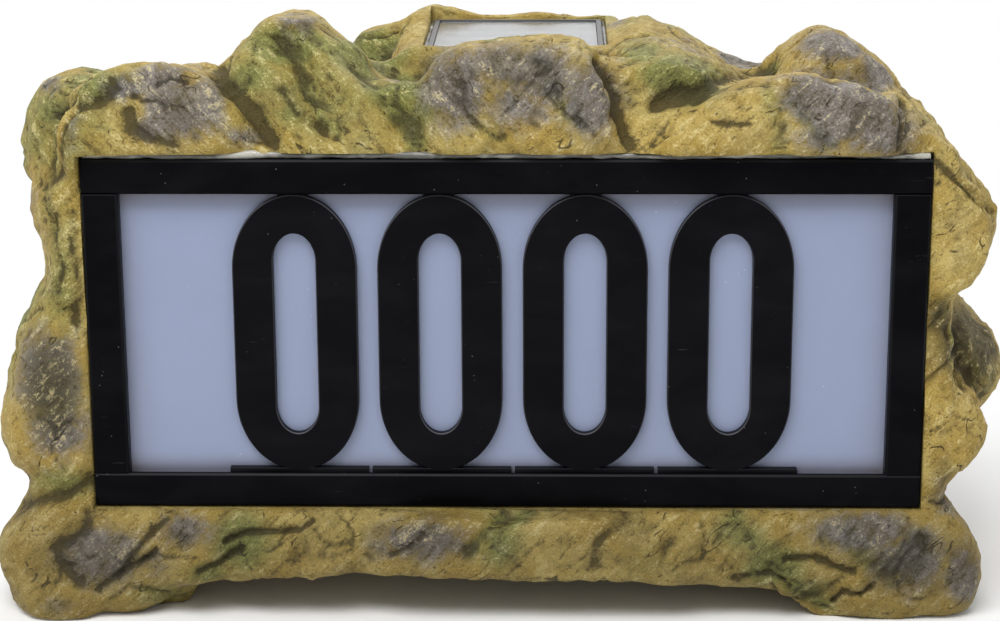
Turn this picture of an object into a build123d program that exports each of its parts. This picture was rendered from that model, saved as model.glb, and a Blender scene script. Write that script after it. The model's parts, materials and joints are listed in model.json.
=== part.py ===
"""Illuminated house number sign: a hollow cast rock with a lit window for sliding numeral tiles.

Millimetres. +X is to the right of someone reading the sign, +Y points to its back and +Z up.
The origin is on the ground, under the middle of the rock's bounding box.
"""

import os
from math import cos, hypot, radians, sin, tan

from build123d import *

os.makedirs("parts", exist_ok=True)

# --------------------------------------------------------------------------------------------------
# Driving dimensions
# --------------------------------------------------------------------------------------------------

# Numeral tiles: four-inch numerals, each with a foot strip below and a tab above
numeral_height = 101.6
numeral_width = 44.0
numeral_stroke = 14.5
numeral_end_rise = 27.0  # height of the outline's elliptical end
counter_end_rise = 10.0
numeral_end_stroke = 14.0
numeral_thickness = 3.0
numeral_edge = 0.4
numeral_pitch = 51.3
numeral_count = 4
numeral_row_shift = 2.5  # middle of the row, right of the window's middle
numeral_gap = 0.6  # above and below a numeral, inside the window
foot_width = 50.0
foot_show = 1.4  # height of foot strip seen above the lower rail
foot_sink = 3.0  # depth of foot strip inside the lower rail
tab_width = 11.0
tab_sink = 4.5
tab_root = 5.0  # how far the tab runs down behind the numeral
tab_slot_cover = 1.4  # of the diffuser above the slot of the tabs
tile_clearance = 0.2

# Window frame
window_width = 271.1
rail_height = 12.4
stile_width = 12.7
frame_depth = 16.0
frame_lip = 2.2
frame_edge = 0.8
seam_edge = 0.3
edge_cover = 5.0  # how far rails and stiles cover the edges of the diffuser
tenon_width = 5.0
tenon_depth = 4.0
tenon_length = 3.0
tenon_setback = 1.0  # from the lip's back
tenon_clearance = 0.1

# Diffuser and light box
diffuser_thickness = 2.5
panel_fit = 0.3  # round the diffuser and the light box, inside the frame
light_box_depth = 22.0
light_box_wall = 2.0
led_board_length = 248.0
led_board_height = 16.0
led_board_thickness = 1.6
led_count = 6
led_end_margin = 14.0  # between the outermost LEDs and the ends of their board
led_size = 5.0
led_height = 1.6
led_dome_radius = 1.9
board_screw_radius = 1.1
board_screw_length = 4.0
board_screw_head_radius = 2.1
board_screw_head = 1.3
board_screw_inset = 5.0

# Rock casting, measured from the frame
rock_left = 37.5
rock_right = 36.5
rock_above = 44.4
rock_ahead = 14.0
rock_behind = 126.0
sign_lift = 39.8  # lower edge of the frame above the ground
casting_depth = 118.0  # sign face to the flat part of the rock's back
side_wall = 9.0
front_setback = 4.0
crown = 8.0  # plain casting above the frame
back_corner = 28.0
back_wall = 12.0
boulder_unit_length = 1.0  # of the offsets that give the boulders and the arch their shapes
boulder_corner = 5.0  # cut off the corners of a boulder's outline, in boulder units
boulder_corner_share = 0.3  # of an outline's side that this cut may take at each end
boulder_shoulder_reach = 0.66  # of a boulder's reach, where its sides turn in towards their ends
boulder_shoulder_draw = 0.5  # of the whole drawing in, reached at that shoulder
boulder_end_size = 0.84  # of a boulder's ends, against the size that its sides would lead to
facet_rise = 2.8  # of a facet ahead of its girdle, in boulder units
facet_root = 9.0  # of a facet into the boulder that it lies on, in boulder units
facet_draw = 0.55  # size of a facet's front against its girdle
facet_skirt = 1.35  # size of a facet's girdle against its drawn outline
arch_height = 17.0
floor_thickness = 9.0
roof_rise = 2.0  # cavity's roof above the frame's top
cavity_side_inset = 5.0  # cavity's side, inside the frame's end
light_box_room = 1.5
cavity_lead_room = 4.0  # between the light box and the cavity's front
frame_fit = 0.5
sealant_height = 2.2  # bead over the top rail
sealant_depth = 5.0
sealant_setback = 0.6

# Solar module
solar_width = 60.0
solar_length = 62.0
solar_shift = 3.0
solar_setback = 53.0  # its front edge behind the sign's face
solar_rise = 30.2  # its window above the frame's top
solar_window_thickness = 1.5
solar_cell_thickness = 2.0
solar_tray_floor = 2.0
solar_tray_wall = 2.0
solar_tray_rim = 0.6
solar_fit = 0.2
solar_sealant_width = 1.6
solar_sealant_depth = 2.5
solar_boss_radius = 4.0
solar_boss_length = 4.0
solar_lead_hole_radius = 5.5
seat_crest_border = 8.0  # flat top of the module's seat, on each side of the module
seat_slope = 5.0
seat_flare = 10.0
seat_border = 8.0  # in front of the module and behind it
seat_lip = 1.5  # above the module's window

# Rear plate, its battery bay and its door
plate_thickness = 3.0
plate_corner = 6.0
plate_fit = 0.5
plate_level = 100.0  # its middle above the ground
gasket_thickness = 1.0
gasket_width = 10.0
opening_clearance = 3.0  # between the battery bay and the side of the rock's rear opening
plate_margin = 13.5  # above and below the door
plate_screw_inset = 5.5
plate_screw_radius = 1.5
plate_screw_length = 13.0
plate_screw_head_radius = 2.8
plate_screw_head = 2.2
screw_clearance = 0.1
driver_slot_length = 3.4
driver_slot_width = 0.8
driver_slot_depth = 1.0
cell_length = 50.5
cell_radius = 7.25
cell_nub_length = 1.2
cell_nub_radius = 2.7
cell_gap = 1.0
cell_room = 0.5
contact_thickness = 0.5
contact_spring = 3.0
contact_size = 11.0
bay_shift = -14.0
bay_wall = 1.8
bay_headroom = 0.6
door_margin = 4.0
door_thickness = 2.0
door_rebate = 1.0
door_clearance = 0.3
door_grip_width = 18.0
door_grip_rib = 0.8
door_grip_pitch = 1.8
door_grip_count = 4
hinge_radius = 2.0
hinge_pin_radius = 0.8
hinge_pin_clearance = 0.05
hinge_gap = 0.3
hinge_barrel_length = 30.0
hinge_knuckle_length = 8.0

# Switch
switch_shift = 32.0
switch_level = 8.0  # above the plate's middle
switch_length = 13.0
switch_height = 7.0
switch_depth = 6.0
switch_wall = 1.2
switch_well_margin = 2.5
switch_well_depth = 1.0
slider_base_length = 6.0
slider_base_thickness = 1.4
knob_length = 3.2
knob_height = 3.0
knob_proud = 0.8
switch_travel = 3.6
slider_clearance = 0.2

# Control board and leads
board_width = 52.0
board_height = 30.0
board_thickness = 1.6
post_length = 3.0
post_radius = 2.4
post_inset = 4.0
socket_width = 7.0
socket_height = 6.0
socket_depth = 6.0
socket_margin = 2.0  # below the board's upper edge
solar_socket_shift = 2.0
led_socket_shift = 18.0
led_socket_drop = 6.0
coil_radius = 4.5
coil_height = 5.0
capacitor_radius = 3.0
capacitor_height = 7.0
chip_length = 6.0
chip_width = 5.0
chip_height = 1.6
board_part_spread = 15.0  # coil and capacitor, each side of the board's middle
capacitor_rise = 7.5
chip_drop = 6.0
lead_radius = 1.3
lead_clearance = 0.3
grommet_radius = 4.5
grommet_flange = 1.0
grommet_lip = 1.5
lead_exit_shift = 32.0  # where the light box's lead leaves it, right of the sign's middle

# --------------------------------------------------------------------------------------------------
# Places worked out from the driving dimensions
# --------------------------------------------------------------------------------------------------

window_height = numeral_height + 2 * numeral_gap
frame_width = window_width + 2 * stile_width
frame_height = window_height + 2 * rail_height

overall_width = frame_width + rock_left + rock_right
overall_depth = rock_ahead + rock_behind
overall_height = sign_lift + frame_height + rock_above

mid = (rock_left - rock_right) / 2  # middle of the sign
left = mid - frame_width / 2
right = mid + frame_width / 2
bottom = sign_lift
top = sign_lift + frame_height
face = -overall_depth / 2 + rock_ahead  # front of the frame
far_left = -overall_width / 2
far_right = overall_width / 2

window_left = left + stile_width
window_right = right - stile_width
window_bottom = bottom + rail_height
window_top = top - rail_height
window_level = (window_bottom + window_top) / 2

tile_front = face + frame_lip + tile_clearance
tile_back = tile_front + numeral_thickness
panel_front = tile_back + tile_clearance
panel_back = panel_front + diffuser_thickness
frame_back = face + frame_depth
light_box_back = panel_back + light_box_depth

tab_slot = tab_sink + foot_sink + foot_show  # room to lift a tile until its foot is free
top_cover = tab_slot + tab_slot_cover
panel_left = window_left - edge_cover + panel_fit
panel_right = window_right + edge_cover - panel_fit
panel_bottom = window_bottom - edge_cover + panel_fit
panel_top = window_top + top_cover - panel_fit

cavity_left = left + cavity_side_inset
cavity_right = right - cavity_side_inset
cavity_front = light_box_back + cavity_lead_room
rock_back = face + casting_depth
cavity_back = rock_back - back_wall
cavity_floor = arch_height + floor_thickness
cavity_roof = top + roof_rise

solar_mid = mid + solar_shift
solar_front = face + solar_setback
solar_centre = solar_front + solar_length / 2
solar_back = solar_front + solar_length
seat_crest = solar_width / 2 + seat_crest_border
seat_shoulder = seat_crest + seat_slope
seat_foot = seat_shoulder + seat_flare
solar_top = top + solar_rise
solar_cells_top = solar_top - solar_window_thickness
solar_floor = solar_cells_top - solar_cell_thickness
solar_tray_bottom = solar_floor - solar_tray_floor
solar_tray_width = solar_width + 2 * (solar_fit + solar_tray_wall)
solar_tray_length = solar_length + 2 * (solar_fit + solar_tray_wall)

plate_outer = rock_back
plate_inner = plate_outer - plate_thickness
gasket_front = plate_inner - gasket_thickness
bay_mid = mid + bay_shift
bay_length = cell_length + 2 * contact_thickness + contact_spring
bay_height = 4 * cell_radius + cell_gap + 2 * cell_room
door_width = bay_length + 2 * door_margin
door_height = bay_height + 2 * door_margin
door_bottom = plate_level - door_height / 2
opening_width = 2 * (bay_length / 2 + bay_wall + opening_clearance - bay_shift)
plate_width = opening_width + 2 * gasket_width
plate_height = door_height + 2 * plate_margin
opening_height = plate_height - 2 * gasket_width
plate_left = mid - plate_width / 2
plate_right = mid + plate_width / 2
plate_bottom = plate_level - plate_height / 2
plate_top = plate_level + plate_height / 2
bay_rim = plate_outer - door_rebate
bay_floor = bay_rim - bay_headroom - 2 * cell_radius
bay_back = bay_floor - bay_wall
bay_left = bay_mid - bay_length / 2
bay_right = bay_mid + bay_length / 2
hinge_y = plate_outer + hinge_radius + hinge_gap
hinge_z = door_bottom - hinge_radius - hinge_gap

switch_x = mid + switch_shift
switch_z = plate_level + switch_level
slot_length = knob_length + switch_travel + 2 * slider_clearance
slot_height = knob_height + 2 * slider_clearance

board_back = bay_back - post_length
board_front = board_back - board_thickness
solar_socket_x = bay_mid + solar_socket_shift
led_socket_x = bay_mid + led_socket_shift
led_socket_z = plate_level - led_socket_drop
led_board_back = light_box_back - light_box_wall
lead_exit_x = mid + lead_exit_shift


# --------------------------------------------------------------------------------------------------
# Helpers
# --------------------------------------------------------------------------------------------------


def block(x_limits, y_limits, z_limits, mode=Mode.ADD):
    """Add or cut a rectangular block between three pairs of limits."""
    limits = (x_limits, y_limits, z_limits)
    with Locations(tuple((low + high) / 2 for low, high in limits)):
        Box(*(abs(high - low) for low, high in limits), mode=mode)


def facing_front(y):
    """The upright plane at depth y, seen from the front: local x is +X and local y is +Z."""
    return Plane(origin=(0, y, 0), x_dir=(1, 0, 0), z_dir=(0, -1, 0))


def facing_back(y):
    """The upright plane at depth y whose normal points to the back: local x is -X, local y is +Z."""
    return Plane(origin=(0, y, 0), x_dir=(-1, 0, 0), z_dir=(0, 1, 0))


def spread(at_x, at_z, offsets):
    """Corners seen from the front, given by their offsets from a place in boulder units."""
    return [(at_x + boulder_unit_length * x, at_z + boulder_unit_length * z) for x, z in offsets]


def trimmed(corners):
    """An outline with its corners cut off, each cut limited by the sides that meet there."""
    points = []
    for index, corner in enumerate(corners):
        for neighbour in (corners[index - 1], corners[(index + 1) % len(corners)]):
            side = hypot(neighbour[0] - corner[0], neighbour[1] - corner[1])
            share = min(boulder_corner / side, boulder_corner_share)
            points.append(tuple(a + share * (b - a) for a, b in zip(corner, neighbour)))
    return points


def boulder(at, offsets, depth, lean, ahead, ahead_scale, behind, behind_scale, ahead_shift=0.0):
    """A faceted lump: its outline as seen from the front, drawn in ahead of its girdle and behind it.

    The outline is given as offsets from the place at. The girdle plane lies depth behind that place
    and leans back by lean degrees, and the front section is shifted sideways by ahead_shift. All
    lengths are in boulder units. Corners are cut off, and shoulders round the ends.
    """
    unit = boulder_unit_length
    at_x, at_y, at_z = at
    outline = spread(at_x, at_z, trimmed(offsets))
    centre_x = sum(x for x, z in outline) / len(outline)
    centre_z = sum(z for x, z in outline) / len(outline)
    slope = radians(lean)
    forwards = (0, -cos(slope), sin(slope))
    girdle = Plane(origin=(centre_x, at_y + depth * unit, centre_z), x_dir=(1, 0, 0), z_dir=forwards)
    corners = [(x - centre_x, (z - centre_z) / cos(slope)) for x, z in outline]
    reach, draw = boulder_shoulder_reach, boulder_shoulder_draw
    sections = (
        (ahead * unit, ahead_scale * boulder_end_size, ahead_shift * unit),
        (ahead * unit * reach, 1 - draw * (1 - ahead_scale), ahead_shift * unit * reach),
        (0.0, 1.0, 0.0),
        (-behind * unit * reach, 1 - draw * (1 - behind_scale), 0.0),
        (-behind * unit, behind_scale * boulder_end_size, 0.0),
    )
    rings = []
    for distance, scale, shift in sections:
        plane = girdle.offset(distance)
        rings.append([plane.from_local_coords((u * scale + shift, v * scale, 0)) for u, v in corners])
    faces = [Face(Wire.make_polygon(rings[0])), Face(Wire.make_polygon(rings[-1]))]
    for near, far in zip(rings, rings[1:]):
        for corner in range(len(corners)):
            quad = (near[corner - 1], near[corner], far[corner], far[corner - 1])
            faces.append(Face(Wire.make_polygon(quad)))
    return Solid(Shell(faces))


def facet(at, offsets, depth, lean):
    """A low lump that stands a little proud of the boulder it lies on."""
    middle_x = sum(x for x, z in offsets) / len(offsets)
    middle_z = sum(z for x, z in offsets) / len(offsets)
    skirt = [(middle_x + facet_skirt * (x - middle_x), middle_z + facet_skirt * (z - middle_z))
             for x, z in offsets]
    return boulder(at, skirt, depth, lean, ahead=facet_rise, ahead_scale=facet_draw,
                   behind=facet_root, behind_scale=1.0)


def lead_radii(route):
    """The largest arc that each corner of a lead's route leaves room for."""
    runs = [Vector(*b) - Vector(*a) for a, b in zip(route, route[1:])]
    radii = []
    for before, after in zip(runs, runs[1:]):
        turn = radians(before.get_angle(after))
        radii.append(0.45 * min(before.length, after.length) / tan(turn / 2))
    return radii


def lead(route):
    """A round lead along a route, with straight runs joined by tangent arcs."""
    radii = lead_radii(route)
    print("lead arcs", [round(r, 1) for r in radii])
    with BuildPart() as cable:
        with BuildLine() as line:
            FilletPolyline(*route, radius=radii)
        with BuildSketch(line.line ^ 0):
            Circle(lead_radius)
        sweep()
    return cable.part


def pan_screws(places, y, shank_radius, shank_length, head_radius, head_height, outward):
    """Pan-head screws seated at depth y; outward is +1 where heads face the back, -1 the front."""
    plane = facing_back(y) if outward > 0 else facing_front(y)
    local = [(-outward * x, z) for x, z in places]
    with BuildPart() as screws:
        with BuildSketch(plane):
            with Locations(*local):
                Circle(head_radius)
        extrude(amount=head_height)
        with BuildSketch(plane):
            with Locations(*local):
                Circle(shank_radius)
        extrude(amount=-shank_length)
        with BuildSketch(plane.offset(head_height)):
            with Locations(*local):
                Rectangle(driver_slot_length, driver_slot_width)
                Rectangle(driver_slot_width, driver_slot_length)
        extrude(amount=-min(driver_slot_depth, head_height * 0.6), mode=Mode.SUBTRACT)
    return screws.part


# --------------------------------------------------------------------------------------------------
# Window frame: two full-width rails and two stiles between them
# --------------------------------------------------------------------------------------------------

tenon_front = face + frame_lip + tenon_setback
tenon_back = tenon_front + tenon_depth


def rail(z_outer, z_inner, tile_slot, rebate):
    """A full-width rail. The tile slot and the diffuser's rebate open on its inner side."""
    inward = 1 if z_inner > z_outer else -1
    with BuildPart() as bar:
        block((left, right), (face, frame_back), sorted((z_outer, z_inner)))
        front_edges = bar.edges().group_by(Axis.Y)[0].filter_by(Axis.X)
        chamfer(front_edges, frame_edge)
        chamfer(bar.edges().filter_by(Axis.Z).group_by(Axis.Y)[0], seam_edge)
        slot_floor = z_inner - inward * tile_slot
        rebate_floor = z_inner - inward * rebate
        block((window_left, window_right), (face + frame_lip, panel_front), sorted((z_inner, slot_floor)),
              mode=Mode.SUBTRACT)
        block((window_left - edge_cover, window_right + edge_cover), (panel_front, frame_back),
              sorted((z_inner, rebate_floor)), mode=Mode.SUBTRACT)
        socket_floor = z_inner - inward * (tenon_length + tenon_clearance)
        for x in (left + tenon_width / 2 + tenon_setback, right - tenon_width / 2 - tenon_setback):
            reach = tenon_width / 2 + tenon_clearance
            block((x - reach, x + reach), (tenon_front - tenon_clearance, tenon_back + tenon_clearance),
                  sorted((z_inner, socket_floor)), mode=Mode.SUBTRACT)
    return bar.part


with BuildPart() as frame_top_rail:
    add(rail(top, window_top, tab_slot, top_cover))
frame_top_rail.part.label = "frame_top_rail"
export_step(frame_top_rail.part, "parts/frame_top_rail.step")

with BuildPart() as frame_bottom_rail:
    add(rail(bottom, window_bottom, foot_sink, edge_cover))
frame_bottom_rail.part.label = "frame_bottom_rail"
export_step(frame_bottom_rail.part, "parts/frame_bottom_rail.step")


def stile(x_outer, x_inner):
    """A short upright between the rails, with a tenon at each end and a rebate for the diffuser."""
    inward = 1 if x_inner > x_outer else -1
    tenon_x = x_outer + inward * (tenon_width / 2 + tenon_setback)
    with BuildPart() as bar:
        block(sorted((x_outer, x_inner)), (face, frame_back), (window_bottom, window_top))
        chamfer(bar.edges().group_by(Axis.Y)[0].filter_by(Axis.Z), frame_edge)
        chamfer(bar.edges().filter_by(Axis.X).group_by(Axis.Y)[0], seam_edge)
        block(sorted((x_inner - inward * edge_cover, x_inner)), (panel_front, frame_back),
              (window_bottom, window_top), mode=Mode.SUBTRACT)
        block((tenon_x - tenon_width / 2, tenon_x + tenon_width / 2), (tenon_front, tenon_back),
              (window_bottom - tenon_length, window_top + tenon_length))
    return bar.part


with BuildPart() as frame_left_stile:
    add(stile(left, window_left))
frame_left_stile.part.label = "frame_left_stile"
export_step(frame_left_stile.part, "parts/frame_left_stile.step")

with BuildPart() as frame_right_stile:
    add(stile(right, window_right))
frame_right_stile.part.label = "frame_right_stile"
export_step(frame_right_stile.part, "parts/frame_right_stile.step")

# --------------------------------------------------------------------------------------------------
# Numeral tiles: rounded noughts that slide along the frame
# --------------------------------------------------------------------------------------------------


def oval(width, height, end_rise):
    """An upright oval with straight sides and elliptical ends, in the sketch being built."""
    Rectangle(width, height - 2 * end_rise)
    with Locations((0, height / 2 - end_rise), (0, end_rise - height / 2)):
        Ellipse(width / 2, end_rise)


def numeral_tile(centre_x):
    """One nought with its foot strip in the lower rail's slot and its tab in the upper rail's."""
    counter_width = numeral_width - 2 * numeral_stroke
    counter_height = numeral_height - 2 * numeral_end_stroke
    with BuildSketch() as nought:
        oval(numeral_width, numeral_height, numeral_end_rise)
    with BuildSketch() as counter:
        oval(counter_width, counter_height, counter_end_rise)
    with BuildPart() as tile:
        with BuildSketch(facing_front(tile_back)):
            with Locations((centre_x, window_level)):
                add(nought.sketch)
                add(counter.sketch, mode=Mode.SUBTRACT)
        extrude(amount=numeral_thickness)
        chamfer(tile.faces().sort_by(Axis.Y)[0].edges(), numeral_edge)
        block((centre_x - foot_width / 2, centre_x + foot_width / 2), (tile_front, tile_back),
              (window_bottom - foot_sink + tile_clearance, window_bottom + foot_show))
        block((centre_x - tab_width / 2, centre_x + tab_width / 2),
              (tile_front + numeral_thickness / 2, tile_back),
              (window_top - numeral_gap - tab_root, window_top + tab_sink))
    return tile.part


for index in range(numeral_count):
    numeral_x = mid + numeral_row_shift + (index - (numeral_count - 1) / 2) * numeral_pitch
    with BuildPart() as digit_tile:
        add(numeral_tile(numeral_x))
    digit_tile.part.label = f"digit_tile_{index + 1}"
    export_step(digit_tile.part, f"parts/digit_tile_{index + 1}.step")

# --------------------------------------------------------------------------------------------------
# Diffuser and light box
# --------------------------------------------------------------------------------------------------

with BuildPart() as diffuser_panel:
    block((panel_left, panel_right), (panel_front, panel_back), (panel_bottom, panel_top))
diffuser_panel.part.label = "diffuser_panel"
export_step(diffuser_panel.part, "parts/diffuser_panel.step")

led_board_screw_places = [
    (mid - led_board_length / 2 + board_screw_inset, window_level),
    (mid + led_board_length / 2 - board_screw_inset, window_level),
]
lead_hole_radius = lead_radius + lead_clearance

with BuildPart() as light_box:
    block((panel_left, panel_right), (panel_back, light_box_back), (panel_bottom, panel_top))
    block((panel_left + light_box_wall, panel_right - light_box_wall), (panel_back, led_board_back),
          (panel_bottom + light_box_wall, panel_top - light_box_wall), mode=Mode.SUBTRACT)
    with BuildSketch(facing_back(light_box_back)):
        with Locations(*[(-x, z) for x, z in led_board_screw_places]):
            Circle(board_screw_head_radius)
    extrude(amount=board_screw_length - light_box_wall)
    with BuildSketch(facing_back(light_box_back + board_screw_length)):
        with Locations(*[(-x, z) for x, z in led_board_screw_places]):
            Circle(board_screw_radius + screw_clearance / 2)
    extrude(amount=-2 * board_screw_length - light_box_wall, mode=Mode.SUBTRACT)
    with BuildSketch(facing_back(light_box_back)):
        with Locations((-lead_exit_x, window_level)):
            Circle(grommet_radius)
    extrude(amount=-light_box_wall, mode=Mode.SUBTRACT)
light_box.part.label = "light_box"
export_step(light_box.part, "parts/light_box.step")

with BuildPart() as light_box_grommet:
    with BuildSketch(facing_back(led_board_back)):
        with Locations((-lead_exit_x, window_level)):
            Circle(grommet_radius - screw_clearance / 2)
            Circle(lead_hole_radius, mode=Mode.SUBTRACT)
    extrude(amount=light_box_wall)
    with BuildSketch(facing_back(light_box_back)):
        with Locations((-lead_exit_x, window_level)):
            Circle(grommet_radius + grommet_lip)
            Circle(lead_hole_radius, mode=Mode.SUBTRACT)
    extrude(amount=grommet_flange)
light_box_grommet.part.label = "light_box_grommet"
export_step(light_box_grommet.part, "parts/light_box_grommet.step")

led_board_front = led_board_back - led_board_thickness
led_pitch = (led_board_length - 2 * led_end_margin) / (led_count - 1)
with BuildPart() as led_board:
    block((mid - led_board_length / 2, mid + led_board_length / 2), (led_board_front, led_board_back),
          (window_level - led_board_height / 2, window_level + led_board_height / 2))
    with BuildSketch(facing_front(led_board_front)):
        with Locations(*led_board_screw_places):
            Circle(board_screw_radius + screw_clearance)
    extrude(amount=-led_board_thickness, mode=Mode.SUBTRACT)
led_board.part.label = "led_board"
export_step(led_board.part, "parts/led_board.step")

with BuildPart() as led_chips:
    with BuildSketch(facing_front(led_board_front)):
        with Locations((mid, window_level)):
            with GridLocations(led_pitch, 0, led_count, 1):
                Rectangle(led_size, led_size)
    extrude(amount=led_height)
    with BuildSketch(facing_front(led_board_front - led_height)):
        with Locations((mid, window_level)):
            with GridLocations(led_pitch, 0, led_count, 1):
                Circle(led_dome_radius)
    extrude(amount=led_dome_radius / 2, taper=20)
led_chips.part.label = "led_chips"
export_step(led_chips.part, "parts/led_chips.step")

with BuildPart() as led_board_screws:
    add(pan_screws(led_board_screw_places, led_board_front, board_screw_radius, board_screw_length,
                   board_screw_head_radius, board_screw_head, outward=-1))
led_board_screws.part.label = "led_board_screws"
export_step(led_board_screws.part, "parts/led_board_screws.step")

# --------------------------------------------------------------------------------------------------
# Rock casting
# --------------------------------------------------------------------------------------------------

screw_reach_x = plate_width / 2 - plate_screw_inset
screw_reach_z = plate_height / 2 - plate_screw_inset
plate_screw_places = [
    (mid + side * screw_reach_x, plate_level + up * screw_reach_z) for side in (-1, 1) for up in (-1, 1)
]
solar_recess_width = solar_tray_width + 2 * solar_sealant_width
solar_recess_length = solar_tray_length + 2 * solar_sealant_width

# Boulders above the frame, from left to right and from front to back
upper_boulders = [
    # front boulder over the left corner
    boulder((left, face, top),
            [(-8, -8), (-9, 12), (-2, 25), (14, 30), (44, 29), (55, 22), (64, -8)],
            depth=14, lean=18, ahead=13, ahead_scale=0.74, behind=36, behind_scale=0.8),
    # left shoulder
    boulder((left, face, top),
            [(-26, -18), (-28, 4), (-18, 23), (-2, 24), (18, 17), (18, -18)],
            depth=40, lean=5, ahead=22, ahead_scale=0.7, behind=44, behind_scale=0.75, ahead_shift=5),
    # tall left ridge
    boulder((left, face, top),
            [(20, -16), (40, 20), (56, 35), (69, 45), (78, 44), (90, 33), (104, 22), (124, -16)],
            depth=46, lean=34, ahead=26, ahead_scale=0.62, behind=40, behind_scale=0.75),
    # front foot of the left ridge
    boulder((left, face, top),
            [(56, -8), (60, 14), (84, 24), (108, 14), (122, -8)],
            depth=16, lean=30, ahead=10, ahead_scale=0.8, behind=40, behind_scale=0.9),
    # apron from the left ridge down to the top rail
    boulder((left, face, top),
            [(55, -8), (60, 5), (78, 15), (100, 16), (116, 10), (124, -8)],
            depth=9, lean=34, ahead=7, ahead_scale=0.86, behind=34, behind_scale=0.95),
    # saddle between the ridge and the middle
    boulder((mid, face, top),
            [(-64, -10), (-58, 17), (-40, 21), (-24, 16), (-18, -10)],
            depth=40, lean=12, ahead=34, ahead_scale=0.85, behind=52, behind_scale=1),
    # front boulder in the middle
    boulder((mid, face, top),
            [(-33, -8), (-31, 19), (-23, 35), (-8, 40), (13, 41), (30, 37), (36, 28), (43, -8)],
            depth=17, lean=10, ahead=16, ahead_scale=0.72, behind=27, behind_scale=0.8),
    # apron between the middle boulder and the long ridge
    boulder((mid, face, top),
            [(32, -8), (36, 10), (50, 18), (64, 12), (74, -8)],
            depth=9, lean=32, ahead=7, ahead_scale=0.86, behind=40, behind_scale=0.95),
    # rounded lobe right of the middle, running to the back
    boulder((mid, face, top),
            [(36, -10), (34, 27), (42, 37), (56, 35), (70, 30), (82, 21), (98, 17), (102, -10)],
            depth=74, lean=0, ahead=60, ahead_scale=0.86, behind=40, behind_scale=0.82),
    # long front ridge over the right corner
    boulder((right, face, top),
            [(-104, -8), (-98, 4), (-91, 16), (-81, 20), (-60, 25), (-47, 27), (-30, 26), (-19, 22),
             (-9, 12), (-6, -8)],
            depth=12, lean=15, ahead=13, ahead_scale=0.8, behind=40, behind_scale=0.75),
    # rear peak
    boulder((right, face, top),
            [(-62, -14), (-56, 20), (-46, 29), (-37, 35), (-30, 35), (-14, 27), (-4, 17), (5, -14)],
            depth=72, lean=8, ahead=32, ahead_scale=0.66, behind=38, behind_scale=0.7),
    # low boulder behind the left shoulder
    boulder((left, face, top),
            [(-6, -16), (2, 8), (22, 15), (44, 14), (60, -16)],
            depth=82, lean=-8, ahead=28, ahead_scale=0.8, behind=30, behind_scale=0.75),
    # low boulder behind the right shoulder
    boulder((right, face, top),
            [(-30, -20), (-22, 12), (-6, 9), (6, -6), (11, -28)],
            depth=60, lean=-8, ahead=26, ahead_scale=0.8, behind=42, behind_scale=0.75),
    # rim behind the solar module
    boulder((mid, solar_back, top),
            [(-76, -14), (-62, 25), (-43, 29), (-32, 37), (-22, 35), (-8, 32), (12, 34), (31, 31),
             (50, 30), (62, -14)],
            depth=2, lean=0, ahead=14, ahead_scale=0.96, behind=12, behind_scale=0.9),
]

# Boulders beside the frame, from top to bottom
side_boulders = [
    # right shoulder slab
    boulder((right, face, top),
            [(-28, -48), (-16, 20), (-8, 18), (1, 9), (11, -2), (24, -17), (28, -23), (26, -36),
             (23, -44), (10, -54), (-8, -56)],
            depth=22, lean=4, ahead=23, ahead_scale=0.84, behind=48, behind_scale=0.85, ahead_shift=-6),
    # right lobe set back from the front
    boulder((right, face, top),
            [(-8, -43), (17, -61), (23, -68), (31, -76), (37.5, -86), (37, -94), (28, -107), (12, -123),
             (-8, -126)],
            depth=55, lean=0, ahead=34, ahead_scale=0.78, behind=45, behind_scale=0.8, ahead_shift=-8),
    # low right lobe at the front
    boulder((right, face, top),
            [(-6, -73), (9, -83), (17, -91), (24, -103), (18, -112), (11, -119), (6, -127.5),
             (-6, -129.5)],
            depth=10, lean=0, ahead=13, ahead_scale=0.74, behind=45, behind_scale=0.85, ahead_shift=-4),
    # upper left wall
    boulder((left, face, top),
            [(-20, -6), (-22, -20), (-19, -34), (-18, -46), (-21, -56), (6, -60), (6, -3)],
            depth=25, lean=0, ahead=25, ahead_scale=0.82, behind=50, behind_scale=0.85, ahead_shift=7),
    # bulge of the left wall
    boulder((left, face, top),
            [(-19, -48), (-28, -66), (-31, -80), (-36, -98), (-35, -110), (-28, -120), (-12, -126),
             (6, -126), (6, -50)],
            depth=18, lean=4, ahead=19, ahead_scale=0.8, behind=55, behind_scale=0.85, ahead_shift=5),
]

# Feet and the ledge under the frame
lower_boulders = [
    # left foot
    boulder((left, face, bottom),
            [(-24, 6), (-32, -8), (-38.5, -17), (-36, -26), (-32, -42), (20, -42), (38, -20), (36, 1)],
            depth=8, lean=8, ahead=16, ahead_scale=0.86, behind=70, behind_scale=0.92, ahead_shift=3),
    # left part of the ledge
    boulder((left, face, bottom),
            [(18, -30), (22, 1), (118, 1), (122, -28)],
            depth=8, lean=14, ahead=16, ahead_scale=0.86, behind=30, behind_scale=0.95),
    # middle of the ledge, the foremost part of the rock
    boulder((mid, face, bottom),
            [(-58, -27), (-46, 1), (52, 1), (70, -27)],
            depth=8, lean=10, ahead=23.5, ahead_scale=0.8, behind=30, behind_scale=0.95),
    # right part of the ledge
    boulder((mid, face, bottom),
            [(36, -28), (44, 1), (116, 1), (120, -34)],
            depth=8, lean=14, ahead=16, ahead_scale=0.88, behind=30, behind_scale=0.95),
    # right foot
    boulder((right, face, bottom),
            [(-52, -42), (17, -42), (23, -32), (24, -22), (20, -11), (10, 1), (-50, 1)],
            depth=6, lean=8, ahead=12, ahead_scale=0.9, behind=72, behind_scale=0.92),
]

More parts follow.
